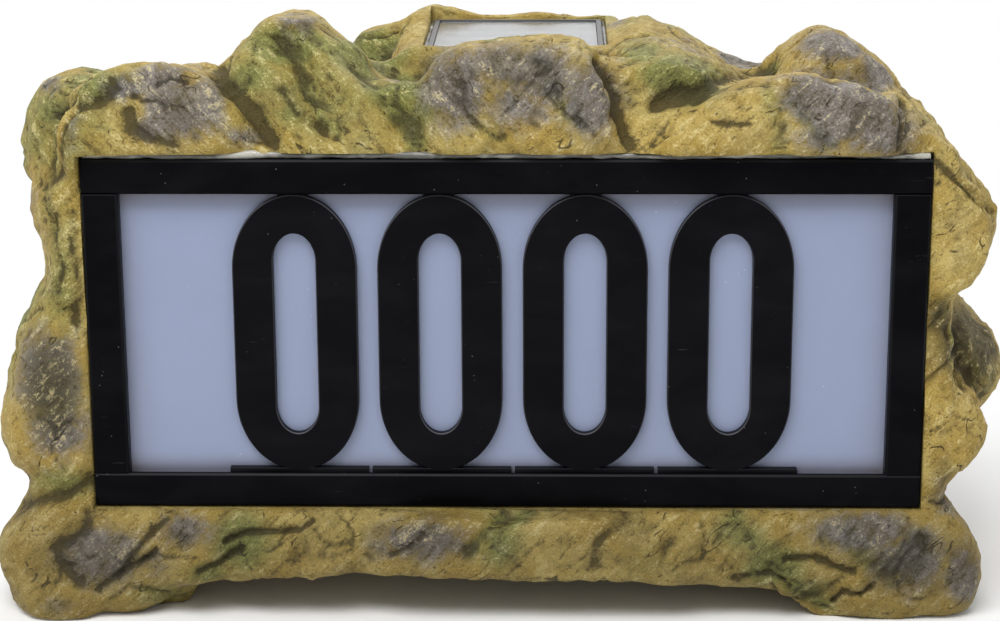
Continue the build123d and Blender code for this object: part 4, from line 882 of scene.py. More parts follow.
def sculpt(thing, rock, stage):
    """Shape the casting's surface and return its points and its paint values at each of them."""
    mesh = thing.data
    edges = np.empty(len(mesh.edges) * 2, np.int32)
    mesh.edges.foreach_get("vertices", edges)
    edges = edges.reshape(-1, 2)
    counts = np.bincount(edges.ravel(), minlength=len(mesh.vertices)).astype(float)

    def put(points):
        mesh.vertices.foreach_set("co", (points * MM).astype(np.float32).ravel())
        mesh.update()
        return read(mesh.vertex_normals, "vector")

    plain = read(mesh.vertices, "co") / MM
    spacing = np.linalg.norm(plain[edges[:, 0]] - plain[edges[:, 1]], axis=1).mean()
    passes = max(2, round(4 * (rock.rounding / MM / spacing) ** 2))
    soft = smoothed(plain, edges, counts, passes)
    soft = soft + smoothed(plain - soft, edges, counts, 2 * passes)
    normals = put(soft)
    towards = np.array(stage.place) / MM - soft
    px_per_mm = stage.focal_px / np.linalg.norm(towards, axis=1)
    towards /= np.linalg.norm(towards, axis=1)[:, None]
    facing = np.clip(((normals * towards).sum(1) - 0.02) / 0.25, 0, 1)
    places = seen_px(stage, soft)

    # Folds run down to the right over the left ridge, and up to the right elsewhere
    falling = np.clip((soft[:, 2] - 158) / 8, 0, 1) * np.clip((8 - soft[:, 0]) / 12, 0, 1)
    height, wander = relief_mm(rock, soft, falling)
    height, crease, valley = creased(height, rock.creases, soft, places, px_per_mm, facing)
    height *= held_down(soft)
    shaped = fitted(soft + normals * height[:, None], plain)
    normals = put(shaped)

    def proudness(passes, reach):
        around = smoothed(shaped, edges, counts, passes)
        return np.clip(((shaped - around) * normals).sum(1) / reach, -1, 1)

    fine, broad = proudness(3, 0.25), proudness(24, 1.3)
    spots = layered_noise(soft + 5 * wander, 30, 201, 3)
    other_spots = layered_noise(soft + 5 * wander, 34, 231, 3)
    hidden = 1 - facing
    paint = {
        "slate": patches(places, slate_px) * facing + np.clip(2.2 * spots - 0.2, 0, 1) * hidden,
        "moss": np.maximum(patches(places, moss_px), 0.75 * valley) * facing
                + np.clip(2.2 * other_spots - 0.1, 0, 1) * hidden,
        "olive": patches(places, olive_px) * facing,
        "cream": patches(places, cream_px) * facing,
        # Hollows get dark washes and painted shade, and crests get dry-brushing and a painted highlight
        "hollow": np.clip(-0.9 * fine - 0.5 * broad, 0, 1),
        "crest": np.clip(0.7 * fine + 0.5 * broad, 0, 1),
        "crease": crease,
        "falling": falling,
        "height": np.clip(soft[:, 2] / plain[:, 2].max(), 0, 1),
    }
    return shaped, paint


def carve(thing):
    """Cut the casting's hollows into the sculpted solid."""
    for outline, axis, _, levels in hollows_mm():
        thing = cut_out(thing, prism(outline, axis, *levels), "rock_work")
    return thing


def paint_points(thing, points, paint):
    """Give each vertex the paint values of the nearest sculpted point, and none deep inside."""
    tree = KDTree(len(points))
    for index, point in enumerate(points * MM):
        tree.insert(point, index)
    tree.balance()
    found = [tree.find(vertex.co) for vertex in thing.data.vertices]
    nearest = np.array([index for _, index, _ in found])
    inside = np.array([distance for _, _, distance in found]) > 4 * MM
    for name, values in paint.items():
        put_attribute(thing, name, np.where(inside, 0.0, values[nearest]))
    put_attribute(thing, "bare", inside)


def rock_finish(rock):
    """Ochre casting with slate and moss glazes, dark washes and painted shade in its pits and hollows, and
    dry-brushed crests that carry a painted highlight.
    """
    skin = Finish("painted_cast_rock", specular_ior_level=0.3)
    place = skin.place()
    broad = skin.noise(place, 30, 4, 0.6, 0.4)
    patch = skin.noise(skin.warped(place, 14, 4), 9, 5, 0.66)
    fine = skin.noise(place, 2.3, 6, 0.68, 0.3)
    grit = skin.noise(place, 0.8, 3, 0.6)

    # Flaky relief and thin broken cracks, drawn out along the folds
    along_down = skin.vector("DOT_PRODUCT", place, (0.7, 0.0, -0.7), output="Value")
    along_up = skin.vector("DOT_PRODUCT", place, (0.7, 0.0, 0.7), output="Value")
    deep = skin.split(place)[1]
    flaky, lines = [], []
    for along, across in ((along_down, along_up), (along_up, along_down)):
        drawn = skin.add("ShaderNodeCombineXYZ", None, {0: along * 0.2, 1: deep * 0.5, 2: across})
        flaky.append(skin.noise(skin.warped(drawn, 16, 3), 2.9, 6, 0.68, 0.2))
        drawn = skin.add("ShaderNodeCombineXYZ", None, {0: along * 0.35, 1: deep * 0.6, 2: across})
        level = skin.noise(skin.warped(drawn, 14, 3), 7.5, 2, 0.5)
        lines.append(1 - (level - 0.5).size().rise(0.002, 0.013))
    falling = skin.attribute("falling")
    flakes = flaky[1] + (flaky[0] - flaky[1]) * falling
    surface = fine * 0.30 + flakes * 0.5 + grit * 0.20
    broken = skin.noise(place, 8, 3).rise(0.53, 0.63)
    cracks = (lines[1] + (lines[0] - lines[1]) * falling) * broken
    drawn_out = skin.stretched(skin.warped(place, 3, 0.9), (0.75, 1.0, 1.3))
    pits = (1 - skin.cells(drawn_out, 2.6).rise(0.08, 0.26)) * skin.noise(place, 9, 2).rise(0.50, 0.62)

    warm = scaled(rock.ochre, 0.82, 0.74, 0.52)
    pale = scaled(rock.ochre, 1.25, 1.27, 1.40)
    base = skin.mix(broad.rise(0.40, 0.66), warm, rock.ochre)
    base = skin.mix((patch * 0.6 + surface * 0.4).rise(0.46, 0.62) * 0.6, base, pale)

    # Coloured glazes, ragged at their edges
    ragged = (patch - 0.5) * 0.9 + (surface - 0.5) * 1.1
    moss_tone = skin.mix(surface.rise(0.38, 0.60), scaled(rock.moss, 0.6), scaled(rock.moss, 1.5))
    moss = (skin.attribute("moss") + ragged * 0.6).rise(0.10, 0.85)
    base = skin.mix(moss * 0.78, base, moss_tone)
    slate_tone = skin.mix((surface * 0.7 + patch * 0.3).rise(0.40, 0.60), rock.shale, rock.slate)
    slate = (skin.attribute("slate") + ragged * 1.0).rise(0.15, 0.80)
    base = skin.mix(slate * 0.9, base, slate_tone)
    olive = (skin.attribute("olive") + ragged * 0.5).rise(0.20, 0.80)
    base = skin.mix(olive * 0.85, base, rock.olive)

    # Dry-brushed crests, which also carry a painted highlight
    crest = skin.attribute("crest")
    dry_brush_and_highlight = (surface.rise(0.525, 0.60) * (0.5 + crest * 1.2) + skin.attribute("cream") * 0.35
              + (patch - 0.5) * 0.5).clamped()
    base = skin.mix(dry_brush_and_highlight * 0.55, base, rock.cream)

    # Brown glaze that the brush left in broad clouds
    glaze = skin.noise(skin.warped(place, 20, 4), 15, 4, 0.62).rise(0.50, 0.68)
    base = skin.mix(glaze * 0.34, base, skin.mix(0.72, base, rock.umber))

    # Dark washes and painted shade in whatever is low
    low_spots = 1 - surface.rise(0.40, 0.48)
    in_crease = skin.attribute("crease") * (1 - surface.rise(0.47, 0.60) * 0.6)
    wash_and_shade = (low_spots * (0.2 + patch * 0.8) + skin.attribute("hollow") * 0.9 + in_crease * 0.85 + cracks
            + pits * 0.5).clamped()
    base = skin.mix(wash_and_shade * 0.82, base, rock.umber)
    speckle = skin.mix(grit.rise(0.3, 0.7), (0.32, 0.32, 0.32), (0.70, 0.70, 0.70))
    base = skin.mix(0.35, base, speckle, "OVERLAY")
    base = skin.mix(skin.attribute("bare"), base, scaled(rock.ochre, 0.75))
    # The foot of the sign is darker
    foot = 1 - skin.attribute("height").rise(0.10, 0.36)
    base = skin.mix(foot * 0.70, base, skin.mix(0.6, base, (0.03, 0.025, 0.01)))

    roughness = 0.60 - slate * 0.16 + (surface - 0.5) * 0.3 + wash_and_shade * 0.15
    skin.set(base_color=base, roughness=roughness.clamped())
    height = surface + patch * 0.15 + grit * 0.12 - cracks * 0.25 - pits * 0.15
    skin.relief(height, 2.1)
    return skin.material


def make_rock(rock, stage):
    """The cast rock: boulders rounded, folded, cracked and painted, in place of the CAD casting."""
    grain = rock.grain * 1.0
    thing = solid_casting(grain, rock.crevice)
    points, paint = sculpt(thing, rock, stage)
    present = sum(len(face.vertices) - 2 for face in thing.data.polygons)
    fewer = thing.modifiers.new("fewer", "DECIMATE")
    fewer.ratio = min(1.0, rock.triangles / present)
    thing = carve(baked(thing, "rock_work"))
    paint_points(thing, points, paint)
    thing.name = "cast_rock"
    finished(thing, rock_finish(rock), "root", "cast_rock", "rock_shell", sharp=70.0)


# ----- Window frame, numerals, diffuser and light box -----


def plastic_finish(name, tint, gloss, grain_mm=0.5, depth_mm=0.02, dust=0.35, shine=0.35, edge_highlight_share=0.1):
    """Moulded plastic with a faint grain, uneven gloss, a painted highlight on rounded edges, scratches and
    specks of dust.
    """
    skin = Finish(name, specular_ior_level=shine)
    place = skin.place()
    smears = skin.noise(skin.stretched(place, (0.6, 1.0, 1.4)), 24, 4, 0.6, 0.6)
    grain = skin.noise(place, grain_mm, 3, 0.6)
    scratch_lines = skin.noise(skin.stretched(skin.warped(place, 40, 4), (0.05, 1.0, 1.0)), 0.7, 2)
    scratches = scratch_lines.rise(0.70, 0.76) * skin.noise(place, 30, 2).rise(0.52, 0.68)
    specks = (1 - skin.cells(place, 3.4).rise(0.04, 0.07)) * skin.noise(place, 16, 2).rise(0.52, 0.60)
    smeared = tuple(channel * 1.6 + 0.004 for channel in tint)
    base = skin.mix(smears.rise(0.35, 0.75) * 0.6, tint, smeared)
    base = skin.mix((specks * dust + scratches * dust * 0.2).clamped(), base, (0.42, 0.41, 0.38))
    # Painted highlight: a paler grey on the rounded edges that face up
    base = skin.mix(skin.attribute("edge_highlight") * edge_highlight_share, base, (0.22, 0.22, 0.24))
    skin.set(base_color=base, roughness=(gloss + (smears - 0.5) * 0.22 + scratches * 0.2).clamped())
    skin.relief(grain * 0.7 - scratches * 0.3, depth_mm, 0.8)
    return skin.material


def diffuser_finish(window):
    """Opal sheet: faint mottling, painted shade that is darker and warmer towards the frame, and a few
    specks.
    """
    skin = Finish("opal_diffuser", specular_ior_level=0.4)
    skin.set(subsurface_weight=0.25, subsurface_radius=(0.004, 0.0042, 0.005), subsurface_scale=1.0)
    place = skin.place()
    x, _, z = skin.split(place)
    left, right = span_mm("frame_left_stile")[1][0] * MM, span_mm("frame_right_stile")[0][0] * MM
    foot, head = span_mm("frame_bottom_rail")[1][2] * MM, span_mm("frame_top_rail")[0][2] * MM
    # Painted shade under the top rail, over the bottom rail and beside the stiles
    under_top = 1 - ((head - z) / (9 * MM)).clamped()
    over_foot = 1 - ((z - foot) / (7 * MM)).clamped()
    beside = 1 - ((right - x).least(x - left) / (16 * MM)).clamped()
    mottle = skin.noise(place, 30, 3, 0.5)
    fine = skin.noise(place, 0.7, 3, 0.6)
    shade = (under_top ** 1.5) * 0.75 + (over_foot ** 1.4) * 0.6 + (beside ** 2.0) * 0.25
    shade = shade + (mottle - 0.5) * 0.2
    base = skin.mix(shade.clamped(), window.diffuser_tint, window.diffuser_shade)
    base = skin.mix(0.12, base, skin.mix(fine, (0.35, 0.35, 0.35), (0.68, 0.68, 0.68)), "OVERLAY")
    specks = (1 - skin.cells(place, 5.2).rise(0.03, 0.05)) * skin.noise(place, 21, 2).rise(0.55, 0.6)
    base = skin.mix(specks * 0.6, base, (0.82, 0.82, 0.84))
    skin.set(base_color=base, roughness=(0.36 + (fine - 0.5) * 0.12))
    skin.relief(fine, 0.02, 0.5)
    return skin.material


def make_window(window):
    """Black rails and stiles round the opal diffuser, and the white box behind it."""
    black = plastic_finish("frame_plastic", window.frame_black, 0.32, shine=0.04)
    # The rails and stiles get a faint painted highlight on their rounded edges
    for part in ("top_rail", "bottom_rail", "left_stile", "right_stile"):
        softened(f"frame_{part}", part, 0.25, black, "root", "black_plastic")
    dress(diffuser_finish(window), "diffuser_panel")
    dress(plastic_finish("light_box_plastic", linear(226, 226, 222), 0.5, dust=0.1), "light_box")


def make_numerals(window):
    """Satin black numeral tiles."""
    # The numerals get a stronger painted highlight on their rounded edges
    satin = plastic_finish("numeral_plastic", window.numeral_black, 0.34, 0.35, 0.015, shine=0.05, edge_highlight_share=0.5)
    for index in range(1, 5):
        softened(f"digit_tile_{index}", f"nought_{index}", 0.5, satin, f"tile_{index}", "numeral_plastic")


# ----- Geometry Nodes -----


class Tree:
    """A Geometry Nodes tree built node by node."""

    def __init__(self, name, **inputs):
        self.group = bpy.data.node_groups.new(name, "GeometryNodeTree")
        self.group.interface.new_socket("Geometry", in_out="INPUT", socket_type="NodeSocketGeometry")
        self.ids = {}
        for label, (kind, value) in inputs.items():
            socket = self.group.interface.new_socket(label, in_out="INPUT", socket_type=kind)
            if value is not None:
                socket.default_value = value
            self.ids[label] = socket.identifier
        self.group.interface.new_socket("Geometry", in_out="OUTPUT", socket_type="NodeSocketGeometry")
        self.entry = self.group.nodes.new("NodeGroupInput")
        self.exit = self.group.nodes.new("NodeGroupOutput")

    def take(self, label):
        return self.entry.outputs[label]

    def add(self, kind, settings=None, inputs=None, output=0):
        """Add a node and return one of its outputs."""
        return add_node(self.group, kind, settings, inputs).outputs[output]

    def copies(self, points, piece):
        """A copy of a piece at each point."""
        return self.add("GeometryNodeInstanceOnPoints", None, {"Points": points, "Instance": piece})

    def close(self, geometry):
        """End the tree with real geometry in its material."""
        real = self.add("GeometryNodeRealizeInstances", None, {"Geometry": geometry})
        inputs = {"Geometry": real, "Material": self.take("Material")}
        self.group.links.new(self.add("GeometryNodeSetMaterial", None, inputs), self.exit.inputs[0])
        return self


def grown(tree, source, name, **values):
    """Run a tree on an object and return the plain mesh object it makes."""
    modifier = source.modifiers.new("grow", "NODES")
    modifier.node_group = tree.group
    for label, value in values.items():
        modifier[tree.ids[label]] = value
    return baked(source, name)


FLOAT, INTEGER, MATERIAL, OBJECT = (f"NodeSocket{kind}" for kind in ("Float", "Int", "Material", "Object"))


def bead_tree():
    """A bead of sealant along a path: uneven in thickness and wandering a little."""
    tree = Tree("sealant_bead", Material=(MATERIAL, None), Radius=(FLOAT, MM), Unevenness=(FLOAT, 0.5),
                Wander=(FLOAT, 0.4 * MM), Step=(FLOAT, 1.2 * MM), Seed=(FLOAT, 0.0))

    def noise(scale, detail, output):
        inputs = {"Vector": place, "W": tree.take("Seed"), "Scale": scale, "Detail": detail}
        return tree.add("ShaderNodeTexNoise", {"noise_dimensions": "4D"}, inputs, output)

    def math_node(operation, *values):
        return tree.add("ShaderNodeMath", {"operation": operation}, dict(enumerate(values)))

    path = tree.add("GeometryNodeMeshToCurve", None, {"Mesh": tree.take("Geometry")})
    steps = {"Curve": path, "Length": tree.take("Step")}
    path = tree.add("GeometryNodeResampleCurve", {"mode": "LENGTH"}, steps)
    place = tree.add("GeometryNodeInputPosition")
    swing = math_node("MULTIPLY", math_node("SUBTRACT", noise(95.0, 3.0, 0), 0.5), tree.take("Unevenness"))
    radius = math_node("MULTIPLY", math_node("MULTIPLY_ADD", swing, 3.0, 1.0), tree.take("Radius"))
    centred = {0: noise(60.0, 2.0, 1), 1: (0.5, 0.5, 0.5)}
    off = tree.add("ShaderNodeVectorMath", {"operation": "SUBTRACT"}, centred)
    off = tree.add("ShaderNodeVectorMath", {"operation": "SCALE"}, {0: off, "Scale": tree.take("Wander")})
    path = tree.add("GeometryNodeSetPosition", None, {"Geometry": path, "Offset": off})
    ring = tree.add("GeometryNodeCurvePrimitiveCircle", None, {"Resolution": 10, "Radius": 1.0})
    tube = tree.add("GeometryNodeCurveToMesh", None,
                    {"Curve": path, "Profile Curve": ring, "Scale": radius, "Fill Caps": True})
    return tree.close(tube)


def scatter_tree():
    """A copy of one object at each vertex."""
    tree = Tree("set_on_points", Material=(MATERIAL, None), Piece=(OBJECT, None))
    piece = tree.add("GeometryNodeObjectInfo", None, {"Object": tree.take("Piece")}, "Geometry")
    return tree.close(tree.copies(tree.take("Geometry"), piece))


def set_on_points(name, piece, places_mm, material):
    """Copies of a piece at places in millimetres, as one plain mesh."""
    points = mesh_object("places", np.array(places_mm) * MM)
    made = grown(scatter_tree(), points, name, Material=material, Piece=piece)
    bpy.data.objects.remove(piece)
    return made


def line_object(name, points_mm, closed=False):
    """A mesh of edges along points in millimetres."""
    edges = [(k, k + 1) for k in range(len(points_mm) - 1)]
    if closed:
        edges.append((len(points_mm) - 1, 0))
    return mesh_object(name, np.array(points_mm) * MM, edges=edges)


# ----- Sealant -----


def sealant_finish(window, whiteness):
    """Clear sealant with whitish, half-cured streaks, more of them as whiteness grows."""
    skin = Finish("clear_sealant", ior=1.42, specular_ior_level=0.6, transmission_weight=0.35)
    place = skin.place()
    cloud = skin.noise(skin.stretched(place, (0.35, 1.0, 1.0)), 7, 4, 0.62, 0.5)
    base = skin.mix((cloud + whiteness).rise(0.44, 0.66), scaled(window.glue_tint, 0.25), window.glue_tint)
    skin.set(base_color=base, roughness=(0.22 + (cloud - 0.5) * 0.3).clamped())
    skin.relief(skin.noise(place, 2.2, 3, 0.6), 0.25, 0.6)
    return skin.material


def make_sealant(window):
    """Beads of sealant over the top rail and round the solar module."""
    tree = bead_tree()
    clear = sealant_finish(window, 0.0)
    low, high = span_mm("frame_sealant")
    path = [(x, low[1] + 1.6, high[2] - 1.1) for x in np.linspace(low[0] + 1, high[0] - 1, 60)]
    bead = grown(tree, line_object("top_path", path), "rail_sealant", Material=clear, Radius=1.25 * MM,
                 Unevenness=0.85, Wander=2.4 * MM, Step=1.3 * MM, Seed=2.0)
    press(bead, low - (0, 1.4, 0.05), high + (0, 0, 1.4))
    finished(bead, clear, "root", "clear_sealant", "frame_sealant", sharp=80)

    dim = sealant_finish(window, -0.1)
    low, high = span_mm("solar_sealant")
    inset, below = 0.8, 1.0
    outline = rounded_rectangle(low[:2] + inset, high[:2] - inset, 2.5, 5)
    ring = line_object("module_path", [(x, y, high[2] - below) for x, y in outline], True)
    bead = grown(tree, ring, "module_sealant", Material=dim, Radius=1.15 * MM, Unevenness=0.5,
                 Wander=0.9 * MM, Step=1.4 * MM, Seed=5.0)
    finished(bead, dim, "root", "clear_sealant", "solar_sealant", sharp=80)


def press(thing, low, high):
    """Press a mesh's vertices into a box given in millimetres."""
    points = np.clip(read(thing.data.vertices, "co"), low * MM, high * MM)
    thing.data.vertices.foreach_set("co", points.astype(np.float32).ravel())
    thing.data.update()


# ----- Solar module -----


def silicon_finish(solar):
    """Blue-black silicon with a crystalline sparkle."""
    skin = Finish("solar_silicon", specular_ior_level=0.5, coat_weight=0.3)
    tone = skin.split(skin.cells(skin.place(), 5.0, "F1", "Color"))[0]
    base = skin.mix(tone * 0.35, solar.silicon, scaled(solar.silicon, 2.0))
    skin.set(base_color=base, roughness=0.28 + tone * 0.2)
    return skin.material


def metal_finish(name, tint, roughness):
    """Plated or plain metal with fine turning marks and a few tarnished clouds."""
    skin = Finish(name, metallic=1.0)
    place = skin.place()
    cloud = skin.noise(place, 6.0, 4, 0.6)
    marks = skin.noise(skin.stretched(place, (1.0, 1.0, 6.0)), 0.5, 2)
    base = skin.mix(cloud.rise(0.4, 0.7) * 0.4, tint, scaled(tint, 0.55))
    skin.set(base_color=base, roughness=(roughness + (cloud - 0.5) * 0.25 + (marks - 0.5) * 0.12).clamped())
    skin.relief(marks, 0.01, 0.5)
    return skin.material


def bars_tree():
    """Flat conductors side by side across each cell."""
    tree = Tree("conductors", Material=(MATERIAL, None), Count=(INTEGER, 10), Length=(FLOAT, 10 * MM),
                Width=(FLOAT, 0.2 * MM), Height=(FLOAT, 0.05 * MM), Pitch=(FLOAT, MM))
    size = tree.add("ShaderNodeCombineXYZ", None,
                    {0: tree.take("Width"), 1: tree.take("Length"), 2: tree.take("Height")})
    bar = tree.add("GeometryNodeMeshCube", None, {"Size": size})
    step = tree.add("ShaderNodeCombineXYZ", None, {0: tree.take("Pitch")})
    row = tree.add("GeometryNodeMeshLine", None, {"Count": tree.take("Count"), "Offset": step})
    bars = tree.add("GeometryNodeRealizeInstances", None, {"Geometry": tree.copies(row, bar)})
    return tree.close(tree.copies(tree.take("Geometry"), bars))


def make_solar(solar):
    """Silicon cells with printed conductors under a clear resin window, in a dark grey tray."""
    low, high = span_mm("solar_cells")
    silicon = silicon_finish(solar)
    silver = metal_finish("printed_silver", solar.silver, 0.35)
    gap, border, resin, film = 0.7, 1.5, 0.35, 0.02
    top = high[2] - resin
    width = high[0] - low[0] - 2 * border
    depth = (high[1] - low[1] - 2 * border - gap * (solar.strips - 1)) / solar.strips
    rows_y = [low[1] + border + depth / 2 + index * (depth + gap) for index in range(solar.strips)]
    middle_x = (low[0] + high[0]) / 2
    cells = bmesh.new()
    for y in rows_y:
        middle = Vector((middle_x, y, (low[2] + top) / 2)) * MM
        for corner in bmesh.ops.create_cube(cells, size=1.0)["verts"]:
            corner.co = middle + Vector([a * b * MM for a, b in zip(corner.co, (width, depth, top - low[2]))])
    bmesh.ops.bevel(cells, geom=cells.edges[:], offset=0.08 * MM, segments=1, affect="EDGES")
    finished(bmesh_object("cell_strips", cells), silicon, "root", "solar_silicon", "solar_cells")

    backing_high = (high[0] - 0.1, high[1] - 0.1, low[2] + 0.6)
    backing = mesh_object("cell_backing", *boxed(low + (0.1, 0.1, 0), backing_high))
    sheet = plastic_finish("backing_sheet", linear(34, 36, 44), 0.5, dust=0.0)
    finished(backing, sheet, "root", "solar_silicon")

    tree = bars_tree()
    rows = mesh_object("rows", np.array([(low[0] + border + 0.5, y, top + film) for y in rows_y]) * MM)
    fingers = grown(tree, rows, "cell_fingers", Material=silver, Count=solar.fingers,
                    Length=(depth - 0.8) * MM, Width=0.14 * MM, Height=0.05 * MM,
                    Pitch=(width - 1.0) / (solar.fingers - 1) * MM)
    finished(fingers, silver, "root", "nickel")
    rows = mesh_object("rows", np.array([(middle_x, y, top + 3 * film) for y in rows_y]) * MM)
    buses = grown(tree, rows, "cell_busbars", Material=silver, Count=1, Length=1.3 * MM,
                  Width=(width - 0.6) * MM, Height=0.12 * MM, Pitch=MM)
    finished(buses, silver, "root", "nickel")

    glass = Finish("clear_resin", base_color=(0.93, 0.95, 0.96), roughness=0.2, ior=1.5,
                   transmission_weight=1.0)
    dress(glass.material, "solar_window")
    dress(plastic_finish("tray_plastic", linear(72, 72, 72), 0.42), "solar_tray")


def boxed(low, high):
    """Vertices in metres and faces of a box given in millimetres."""
    points = [np.array(c) * MM for c in itertools.product(*zip(low, high))]
    faces = [(0, 1, 3, 2), (4, 6, 7, 5), (0, 4, 5, 1), (2, 3, 7, 6), (0, 2, 6, 4), (1, 5, 7, 3)]
    return points, faces


# ----- Rear plate, switch, batteries and boards -----


def pan_head(name, head_radius, head_height, shank_radius, shank_length, slot):
    """A pan-head screw, its head to the back and its seat at the origin, with cross recess and thread."""
    crown = [(0.0, 1.0), (0.45, 0.97), (0.8, 0.8), (0.97, 0.45), (1.0, 0.12), (0.98, 0.0)]
    profile = [(head_radius * out, head_height * up) for out, up in crown]
    profile.append((shank_radius, 0.0))
    pitch = shank_radius * 0.55
    for k in range(int(shank_length / pitch) - 1):
        profile.append((shank_radius * 0.8, -pitch * (k + 0.25)))
        profile.append((shank_radius, -pitch * (k + 0.6)))
    profile += [(shank_radius * 0.7, -shank_length + 0.3), (0.0, -shank_length)]
    work = bmesh.new()
    points = [work.verts.new((radius * MM, level * MM, 0)) for radius, level in profile]
    for a, b in zip(points, points[1:]):
        work.edges.new((a, b))
    bmesh.ops.spin(work, geom=work.verts[:] + work.edges[:], cent=(0, 0, 0), axis=(0, 1, 0),
                   angle=2 * math.pi, steps=32, use_merge=True)
    bmesh.ops.remove_doubles(work, verts=work.verts, dist=0.001 * MM)
    bmesh.ops.recalc_face_normals(work, faces=work.faces)
    screw = bmesh_object(name, work)
    for wide, tall in ((slot, slot * 0.24), (slot * 0.24, slot)):
        arm = rectangle((-wide / 2, -tall / 2), (wide / 2, tall / 2))
        screw = cut_out(screw, prism(arm, 1, head_height * 0.35, head_height + 2), name)
    return screw


def make_screws(rear):
    """Pan-head screws of the rear plate, the control board and the LED board."""
    steel = metal_finish("zinc_steel", rear.steel, 0.32)
    places = [(x, rear_face_mm(), z) for x, z in plate_screws_mm()]
    screws = set_on_points("plate_screws", pan_head("plate_screw", 2.8, 2.2, 1.5, 13.0, 3.4), places, steel)
    finished(screws, steel, "root", "screw_steel", "rear_screws")
    # The boards' screws have their heads to the front and stand at opposite corners
    head_radius, head_height = BOARD_HEAD_RADIUS_MM, BOARD_HEAD_HEIGHT_MM
    for node, name, shank in (("board_screws", "control_screws", 3.6),
                              ("led_board_screws", "led_screws", 4.0)):
        low, high = span_mm(node)
        seat = low[1] + head_height
        places = [(low[0] + head_radius, seat, low[2] + head_radius),
                  (high[0] - head_radius, seat, high[2] - head_radius)]
        master = pan_head(name, head_radius, head_height, 1.1, shank, 2.6)
        master.data.transform(Matrix.Rotation(math.pi, 4, "Z"))
        screws = set_on_points(name, master, places, steel)
        finished(screws, steel, "root", "screw_steel", node)
    dress(steel, "door_hinge_pin")


def make_rear(rear):
    """Grained black plate, door and switch, with their rubber gasket and grommet."""
    black = plastic_finish("rear_plastic", rear.plate_black, 0.52, 0.6, 0.06, dust=0.2)
    dress(black, "rear_plate", "battery_door")
    dress(plastic_finish("switch_plastic", linear(30, 30, 32), 0.4, dust=0.1), "switch_body")
    dress(plastic_finish("slider_plastic", linear(196, 196, 192), 0.4, dust=0.1), "switch_slider")
    rubber = plastic_finish("gasket_rubber", rear.rubber, 0.8, 0.8, 0.08, dust=0.3)
    dress(rubber, "rear_gasket", "light_box_grommet")


def battery_finish(rear):
    """Plastic sleeve with a pale band near one end, over bare metal ends."""
    skin = Finish("cell_sleeve", specular_ior_level=0.5)
    place = skin.place()
    low, high = span_mm("battery_1")
    middle = (low[0] + high[0]) / 2 * MM
    along = skin.split(place)[0] - middle
    ends = along.size().rise(24.0 * MM, 24.2 * MM)
    band = 1 - (along + 14 * MM).size().rise(3.5 * MM, 3.6 * MM)
    scuff = skin.noise(skin.stretched(place, (0.3, 1, 1)), 1.5, 3)
    base = skin.mix(band, rear.wrap, linear(206, 208, 210))
    base = skin.mix(scuff.rise(0.6, 0.8) * 0.2, base, linear(150, 160, 172))
    base = skin.mix(ends, base, linear(188, 188, 184))
    skin.set(base_color=base, metallic=ends, roughness=0.32 + (scuff - 0.5) * 0.2)
    return skin.material


def board_finish(rear):
    """Green laminate with paler tracks under its lacquer."""
    skin = Finish("board_laminate", specular_ior_level=0.5, coat_weight=0.2)
    place = skin.place()
    lines = 1 - skin.cells(place, 3.1, "DISTANCE_TO_EDGE").rise(0.08, 0.12)
    weave = skin.noise(place, 0.4, 2)
    base = skin.mix(lines * 0.5, rear.laminate, scaled(rear.laminate, 2.1))
    base = skin.mix(weave * 0.25, base, scaled(rear.laminate, 0.6))
    skin.set(base_color=base, roughness=0.38 + (weave - 0.5) * 0.1)
    skin.relief(lines, 0.04, 0.6)
    return skin.material


def make_cells(rear):
    """Two sleeved cells and their nickel contacts."""
    dress(battery_finish(rear), "battery_1", "battery_2")
    dress(metal_finish("nickel_contacts", linear(206, 202, 190), 0.3), "battery_contacts")


def make_boards(rear):
    """Circuit boards, their components, the LEDs and the two leads."""
    dress(board_finish(rear), "control_board", "led_board")
    dress(plastic_finish("component_resin", linear(30, 30, 32), 0.45, dust=0.1), "board_parts")
    amber = Finish("led_resin", roughness=0.25, specular_ior_level=0.5)
    cloud = amber.noise(amber.place(), 1.2, 2)
    amber.set(base_color=amber.mix(cloud, linear(250, 232, 150), linear(236, 204, 88)))
    low, high = span_mm("led_chips")
    first, last = low[0] + LED_SIDE_MM / 2, high[0] - LED_SIDE_MM / 2
    places = [(x, high[1], (low[2] + high[2]) / 2) for x in np.linspace(first, last, 6)]
    leds = set_on_points("leds", led_chip(), places, amber.material)
    finished(leds, amber.material, "root", "led_resin", "led_chips")
    dress(plastic_finish("lead_jacket", linear(24, 24, 25), 0.45, dust=0.1), "solar_lead", "led_lead")


def led_chip():
    """A square LED facing the front, with its seat at the origin: chamfered body and domed lens."""
    work = bmesh.new()
    side, thick = LED_SIDE_MM, 1.6
    for corner in bmesh.ops.create_cube(work, size=1.0)["verts"]:
        corner.co = Vector((corner.co.x * side, (corner.co.y - 0.5) * thick, corner.co.z * side)) * MM
    bmesh.ops.bevel(work, geom=work.edges[:], offset=0.25 * MM, segments=2, affect="EDGES")
    for point in bmesh.ops.create_uvsphere(work, u_segments=20, v_segments=10, radius=1.9 * MM)["verts"]:
        point.co = Vector((point.co.x, point.co.y * 0.5 - thick * MM, point.co.z))
    return bmesh_object("led_chip", work)


# ----- Operators, panel and registration -----


class SIGN_OT_stage(bpy.types.Operator):
    """Set up the camera, the lamps, the pale room and the floor"""

    bl_idname = "sign.stage"
    bl_label = "Stage"

    def execute(self, context):
        make_stage(context.scene.sign.stage)
        return {"FINISHED"}


